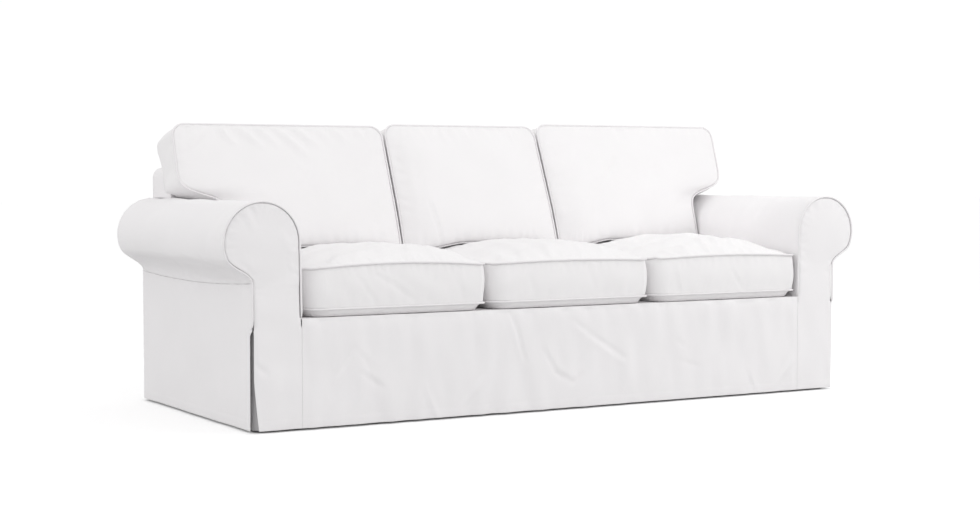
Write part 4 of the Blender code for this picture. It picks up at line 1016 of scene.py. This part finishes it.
def filled_cushion(node, face, rings, rear, face_uv, tall):
    """A closed cushion: a grid for its face, one for its rear, and rings of points between them.

    The cloth's own map is the face's, and on the band the way round it and the height.
    """
    rows, columns = face.shape[:2]
    count = rows * columns
    rear_start = count + rings.shape[0] * rings.shape[1]
    loops = [rim_of(rows, columns)]
    loops += [count + k * rings.shape[1] + np.arange(rings.shape[1]) for k in range(len(rings))]
    loops.append(rear_start + rim_of(rows, columns))
    points = np.concatenate([face.reshape(-1, 3), rings.reshape(-1, 3), rear.reshape(-1, 3)])
    face_quads = grid_quads(rows, columns)
    rear_quads = face_quads[:, ::-1]
    way = loop_way(border(face))[0]
    way = np.append(way, 2.0 * way[-1] - way[-2])
    level = np.linspace(0.0, tall, len(loops))[:, None]
    ring_uv = np.stack(np.broadcast_arrays(way, level), 2)
    band_corners = [np.stack([here[:-1], here[1:], there[1:], there[:-1]], 1)
                    for here, there in zip(ring_uv, ring_uv[1:])]
    flat_uv = face_uv.reshape(-1, 2)
    cloth_uv = np.concatenate([flat_uv[face_quads], *band_corners, flat_uv[rear_quads]])
    bands = [band_quads(a, b) for a, b in zip(loops, loops[1:])]
    quads = np.concatenate([face_quads, *bands, rear_start + rear_quads])
    worn_and_seam_shade = np.zeros(len(points))
    # painted shade: a darker line along both piped seams of the cushion
    worn_and_seam_shade[loops[0]] = worn_and_seam_shade[loops[-1]] = 1.0
    cushion = sewn_mesh(node + "_filled", points, quads, cloth_uv, worn_and_seam_shade)
    return fit_piece(cushion, node, cushion_cotton)


def seat_grid(x_left, x_right, y_rear):
    """A grid over a rectangle with rounded corners: x, y and both again from -1 to 1."""
    half_x, half_y = 0.5 * (x_right - x_left), 0.5 * (y_rear - SEAT_FRONT_Y)
    y = corner_stations(half_y, SEAT_ROUND, 88)[None, :]
    x = corner_stations(half_x, SEAT_ROUND, 80)[:, None]
    radius = np.where(x < 0.0, SEAT_ROUND, SEAT_ROUND_RIGHT)
    x = x * (half_x - corner_cut(half_y - np.abs(y), radius)) / half_x
    y = np.broadcast_to(y, x.shape)
    return 0.5 * (x_left + x_right) + x, 0.5 * (SEAT_FRONT_Y + y_rear) + y, x / half_x, y / half_y


for seed, (name, (x_left, x_right, arch, rise, power, soften)) in enumerate(SEATS.items()):
    x_left, x_right = x_left + CORD_INSET, x_right - CORD_INSET
    x, y, u, v = seat_grid(x_left, x_right, SEAT_REAR_TOP_Y)
    seam = SEAT_TOP_Z + arch * (1.0 - u ** 2) * np.clip(0.5 - 0.5 * v, 0.0, 1.0)
    side_in = 0.5 * (x_right - x_left) * (1.0 - np.abs(u))
    end_in = 0.5 * (SEAT_REAR_TOP_Y - SEAT_FRONT_Y) * (1.0 - np.abs(v))
    fine, free = cushion_relief(SEAT_FOLDS, x, y, side_in, end_in, 0.012, 101 + seed,
                                (0.18, 0.0020), (0.022, 0.0016, 0.040), (0.026, 0.0011))
    limit = SEAT_REST_Z + FREE_RISE * (1.0 - smooth((v - PRESSED_FROM) / PRESSED_OVER))
    height = seam + rise * seat_swell(u, v, power, soften) + fine
    height = -PRESSED_SOFT * np.log(np.exp(-(height - limit) / PRESSED_SOFT) + 1.0) + limit
    top = np.stack([x, y, np.maximum(height, seam - 0.001 * free)], 2)
    bx, by, _, bv = seat_grid(x_left, x_right, SEAT_REAR_BASE_Y)
    base_in = np.minimum(bx - bx[0], bx[-1] - bx)
    drop = UNDER_DROP * crown(bv, *LENGTHWISE) * smooth(base_in / UNDER_SLOPE)
    base = np.stack([bx, by, SEAT_BASE_Z - np.minimum(drop, SEAT_BASE_Z - DECK_Z - CLEAR)], 2)
    upper, lower = border(top), border(base)
    away = outward(upper, (0.0, 0.0, 1.0))
    way, lap = loop_way(upper)
    band, share = cushion_band(top, base, 16)
    uneven = soft_waves(band[..., 0] + band[..., 1], band[..., 2], 131 + seed, 0.16, 0.0008)
    bulge = (BOX_BULGE + uneven) * np.sin(math.pi * share)
    bulge = bulge + puckers(way, share * SEAT_TALL, 141 + seed, 0.026, 0.0008, lap=lap)
    bulge = bulge + puckers(way, (1.0 - share) * SEAT_TALL, 151 + seed, 0.026, 0.0006, 0.045, lap)
    facing = smooth((-away[:, 1] - 0.7) / 0.3)
    bulge = bulge + facing * crests(BAND_FOLDS, band[..., 0], band[..., 2])
    rings = band + bulge[..., None] * away
    cushion = filled_cushion("seat_cushion_" + name, top, rings, base, np.stack([x, y], 2), SEAT_TALL)
    for level, loop in (("top", upper), ("base", lower)):
        path = loop + CORD_CLEAR * outward(loop, (0.0, 0.0, 1.0))
        node = "seat_piping_" + level + "_" + name
        piping_cord(node, path, (0.0, 0.0, 1.0), 161 + seed)

# ==== back cushions ===========================================================================
# Three softer cushions of loose fibre that lean on the inside back and stand on the seat. The
# outer two have an ear that reaches over the arm. Their front seam is piped all the way round.
BACK_REST_Z = 0.4725              # lower seam
BACK_FRONT_Y = 0.075              # front seam at the height LEAN_Z
BACK_THICK, BACK_THICK_TOP = 0.118, 0.142     # below and above the top of the sofa's back
BACK_TILT = 0.036                 # the rear seam lies lower: the cushion is cut square to its lean
BACK_CORNER, BACK_FOOT_CORNER = 0.034, 0.018  # radii of the corners at the top and at the foot
EAR_BULGE = 0.010                 # how much more the band swells round an ear
EAR_DROOP = 0.020                 # how much lower the rear of an ear hangs at its outer corner
FOOT_SINK = 0.036                 # how far a cushion may sink where a seat cushion is low
BACK_SAG = 0.7                    # under 1, the fullest place lies below the middle
BACK_CROWN, REAR_CROWN = 0.040, 0.030         # how full the front and the rear are
SHOULDER = (0.18, -0.72, 0.22)    # of the fuller left side: its height, place and width
# left side at seat and top, right side at seat and top, height of the top seam, the ear and how
# much higher it sits, and how squarely the crown starts at the left side
BACKS = {
    "left": (-0.862, -0.862, -0.289, -0.303, 0.842, "left", 0.004, 2.8),
    "middle": (-0.283, -0.297, 0.287, 0.263, 0.848, "none", 0.000, 4.5),
    "right": (0.293, 0.269, 0.862, 0.862, 0.856, "right", 0.010, 4.5),
}
EAR_X = (0.862, 0.862, 0.860, 0.865, 0.882, 0.920, 0.960, 0.983, 0.997, 1.001, 1.001)
EAR_Z = (0.470, 0.490, 0.570, 0.595, 0.615, 0.628, 0.639, 0.650, 0.668, 0.690, 0.860)
# on the fronts: a is x, b is z
BACK_FOLDS = (
    (-902, 826, -945, 780, 11, 6.3), (-858, 836, -818, 789, 11, 8.0), (-792, 836, -738, 783, 11, 8.0),
    (-730, 836, -680, 784, 11, 8.0), (-672, 836, -594, 760, 12, 9.1), (-610, 836, -550, 785, 11, 8.0),
    (-530, 836, -500, 795, 10, 4.5), (-480, 838, -448, 800, 11, 6.3), (-400, 838, -380, 810, 11, 3.9),
    (-601, 711, -628, 669, 11, 2.5), (-640, 735, -600, 700, 10, 1.5), (-192, 602, -175, 535, 7, -3.0),
    (-175, 535, -157, 461, 7, -3.0), (-100, 840, -80, 800, 10, 2.0), (-20, 840, 0, 800, 10, 1.8),
    (60, 842, 90, 805, 10, 1.8), (150, 842, 170, 790, 10, 1.8), (544, 754, 485, 690, 10, 2.8),
    (600, 860, 610, 800, 26, -3.5, 0), (400, 800, 380, 720, 18, 2.0), (640, 720, 680, 650, 18, 2.0),
    (830, 640, 760, 600, 14, 2.5), (420, 600, 400, 520, 16, 1.8), (-240, 780, -235, 560, 18, 2.5),
    (860, 470, 660, 466, 50, -22.0, 0),
)


def rounded_side(z, low_x, top_x, top_z, ear, lift):
    """One upright side of a back cushion, as x at each height: straight, or round the arm."""
    if not ear:
        return low_x + (top_x - low_x) * (z - BACK_REST_Z) / (top_z - BACK_REST_Z)
    spread = np.linspace(-0.009, 0.009, 7)
    ear_z = [ear_level + (lift if 0.5 < ear_level < 0.72 else 0.0) for ear_level in EAR_Z]
    return np.mean([np.interp(z + shift, ear_z, EAR_X) for shift in spread], axis=0)


def foot_sink(x):
    """How far a back cushion sinks at x to rest on the seat cushions, which fall to their sides."""
    rest = np.full(np.shape(x), SEAT_TOP_Z)
    for left, right, _, rise, power, soften in SEATS.values():
        u = np.clip((2.0 * x - left - right) / (right - left), -1.0, 1.0)
        rest = np.maximum(rest, SEAT_TOP_Z + rise * seat_swell(u, 0.65, power, soften))
    return np.clip(SEAT_REST_Z - 0.0005 - rest, 0.0, FOOT_SINK)


square_to = np.array([0.0, 1.0, -LEAN]) / math.hypot(1.0, LEAN)
for seed, (name, (low_l, top_l, low_r, top_r, top_z, ear, lift, fullness)) in enumerate(BACKS.items()):
    span = top_z - BACK_REST_Z
    z = corner_stations(0.5 * span, BACK_CORNER, 48, 8) + 0.5 * (BACK_REST_Z + top_z)
    top_cut, foot_cut = corner_cut(top_z - z, BACK_CORNER), corner_cut(z - BACK_REST_Z, BACK_FOOT_CORNER)
    cut = np.where(z > 0.6, top_cut, foot_cut)
    left = -rounded_side(z, -low_l, -top_l, top_z, ear == "left", lift) + cut
    right = rounded_side(z, low_r, top_r, top_z, ear == "right", lift) - cut
    across = corner_stations(1.0, 0.07, 80, 5)[:, None]
    half = 0.5 * (right - left) - CORD_INSET
    x = 0.5 * (left + right) + half * across
    level = BACK_REST_Z + 0.5 * CORD_INSET + (z - BACK_REST_Z) * (span - 1.5 * CORD_INSET) / span
    up = 2.0 * (z - BACK_REST_Z) / span - 1.0
    across, level, up, half = np.broadcast_arrays(across, level, up, half)
    sunk = 2.0 * (0.5 + 0.5 * up) ** BACK_SAG - 1.0
    high, place, wide = SHOULDER
    shoulder = 1.0 + high * (fullness - 2.8) * np.exp(-((across - place) / wide) ** 2)
    swell = crown(across, np.where(across < 0.0, fullness, 3.6), 0.8) * crown(sunk, 2.6, 0.75) * shoulder
    side_in = half * (1.0 - np.abs(across))
    end_in = 0.5 * span * (1.0 - np.abs(up))
    fine = cushion_relief(BACK_FOLDS, x, level, side_in, end_in, 0.008, 171 + seed,
                          (0.24, 0.0016), (0.024, 0.0013, 0.036), (0.034, 0.0008))[0]
    seam_y = BACK_FRONT_Y + LEAN * (level - LEAN_Z)
    y_front = seam_y - BACK_CROWN * (1.0 - 0.10 * sunk) * swell - fine
    climb = (level - BACK_REST_Z) / span
    rear_level = level - BACK_TILT * climb ** 0.65
    foot = foot_sink(x) * np.clip(1.0 - climb / 0.35, 0.0, 1.0) ** 2
    corner = np.clip((np.abs(x) - 0.978) / 0.016, 0.0, 1.0) * np.clip((0.77 - level) / 0.08, 0.0, 1.0)
    rear_z = rear_level - foot - EAR_DROOP * corner
    above = np.maximum(rear_level - BACK_TOP_Z - 0.003, 0.0)
    thick = BACK_THICK + (BACK_THICK_TOP - BACK_THICK) * np.minimum(above / 0.040, 1.0)
    leaning = inside_back_y(rear_z) - 0.0005 + 1.5 * above
    y_rear = np.minimum(seam_y + thick + REAR_CROWN * swell, leaning)
    front, rear = np.stack([x, y_front, level - foot], 2), np.stack([x, y_rear, rear_z], 2)
    seam = border(front)
    away = outward(seam, square_to)
    way, lap = loop_way(seam)
    band, share = cushion_band(front, rear, 14)
    ear_part = smooth((np.abs(seam[:, 0]) - 0.885) / 0.03) * smooth((0.72 - seam[:, 2]) / 0.05)
    bulge = (BOX_BULGE + EAR_BULGE * ear_part) * np.sin(math.pi * share)
    bulge = bulge + soft_waves(way, share * BACK_THICK, 201 + seed, 0.14, 0.0008)
    bulge = bulge + puckers(way, share * BACK_THICK, 211 + seed, 0.026, 0.0010, lap=lap)
    rings = band + bulge[..., None] * away
    rings[..., 2] = np.maximum(rings[..., 2], SEAT_REST_Z + 0.0006 - foot_sink(rings[..., 0]))
    face_uv = np.stack([x, level], 2)
    cushion = filled_cushion("back_cushion_" + name, front, rings, rear, face_uv, BACK_THICK)
    path = seam + CORD_CLEAR * outward(seam, square_to)
    piping_cord("back_piping_" + name, path, square_to, 221 + seed)
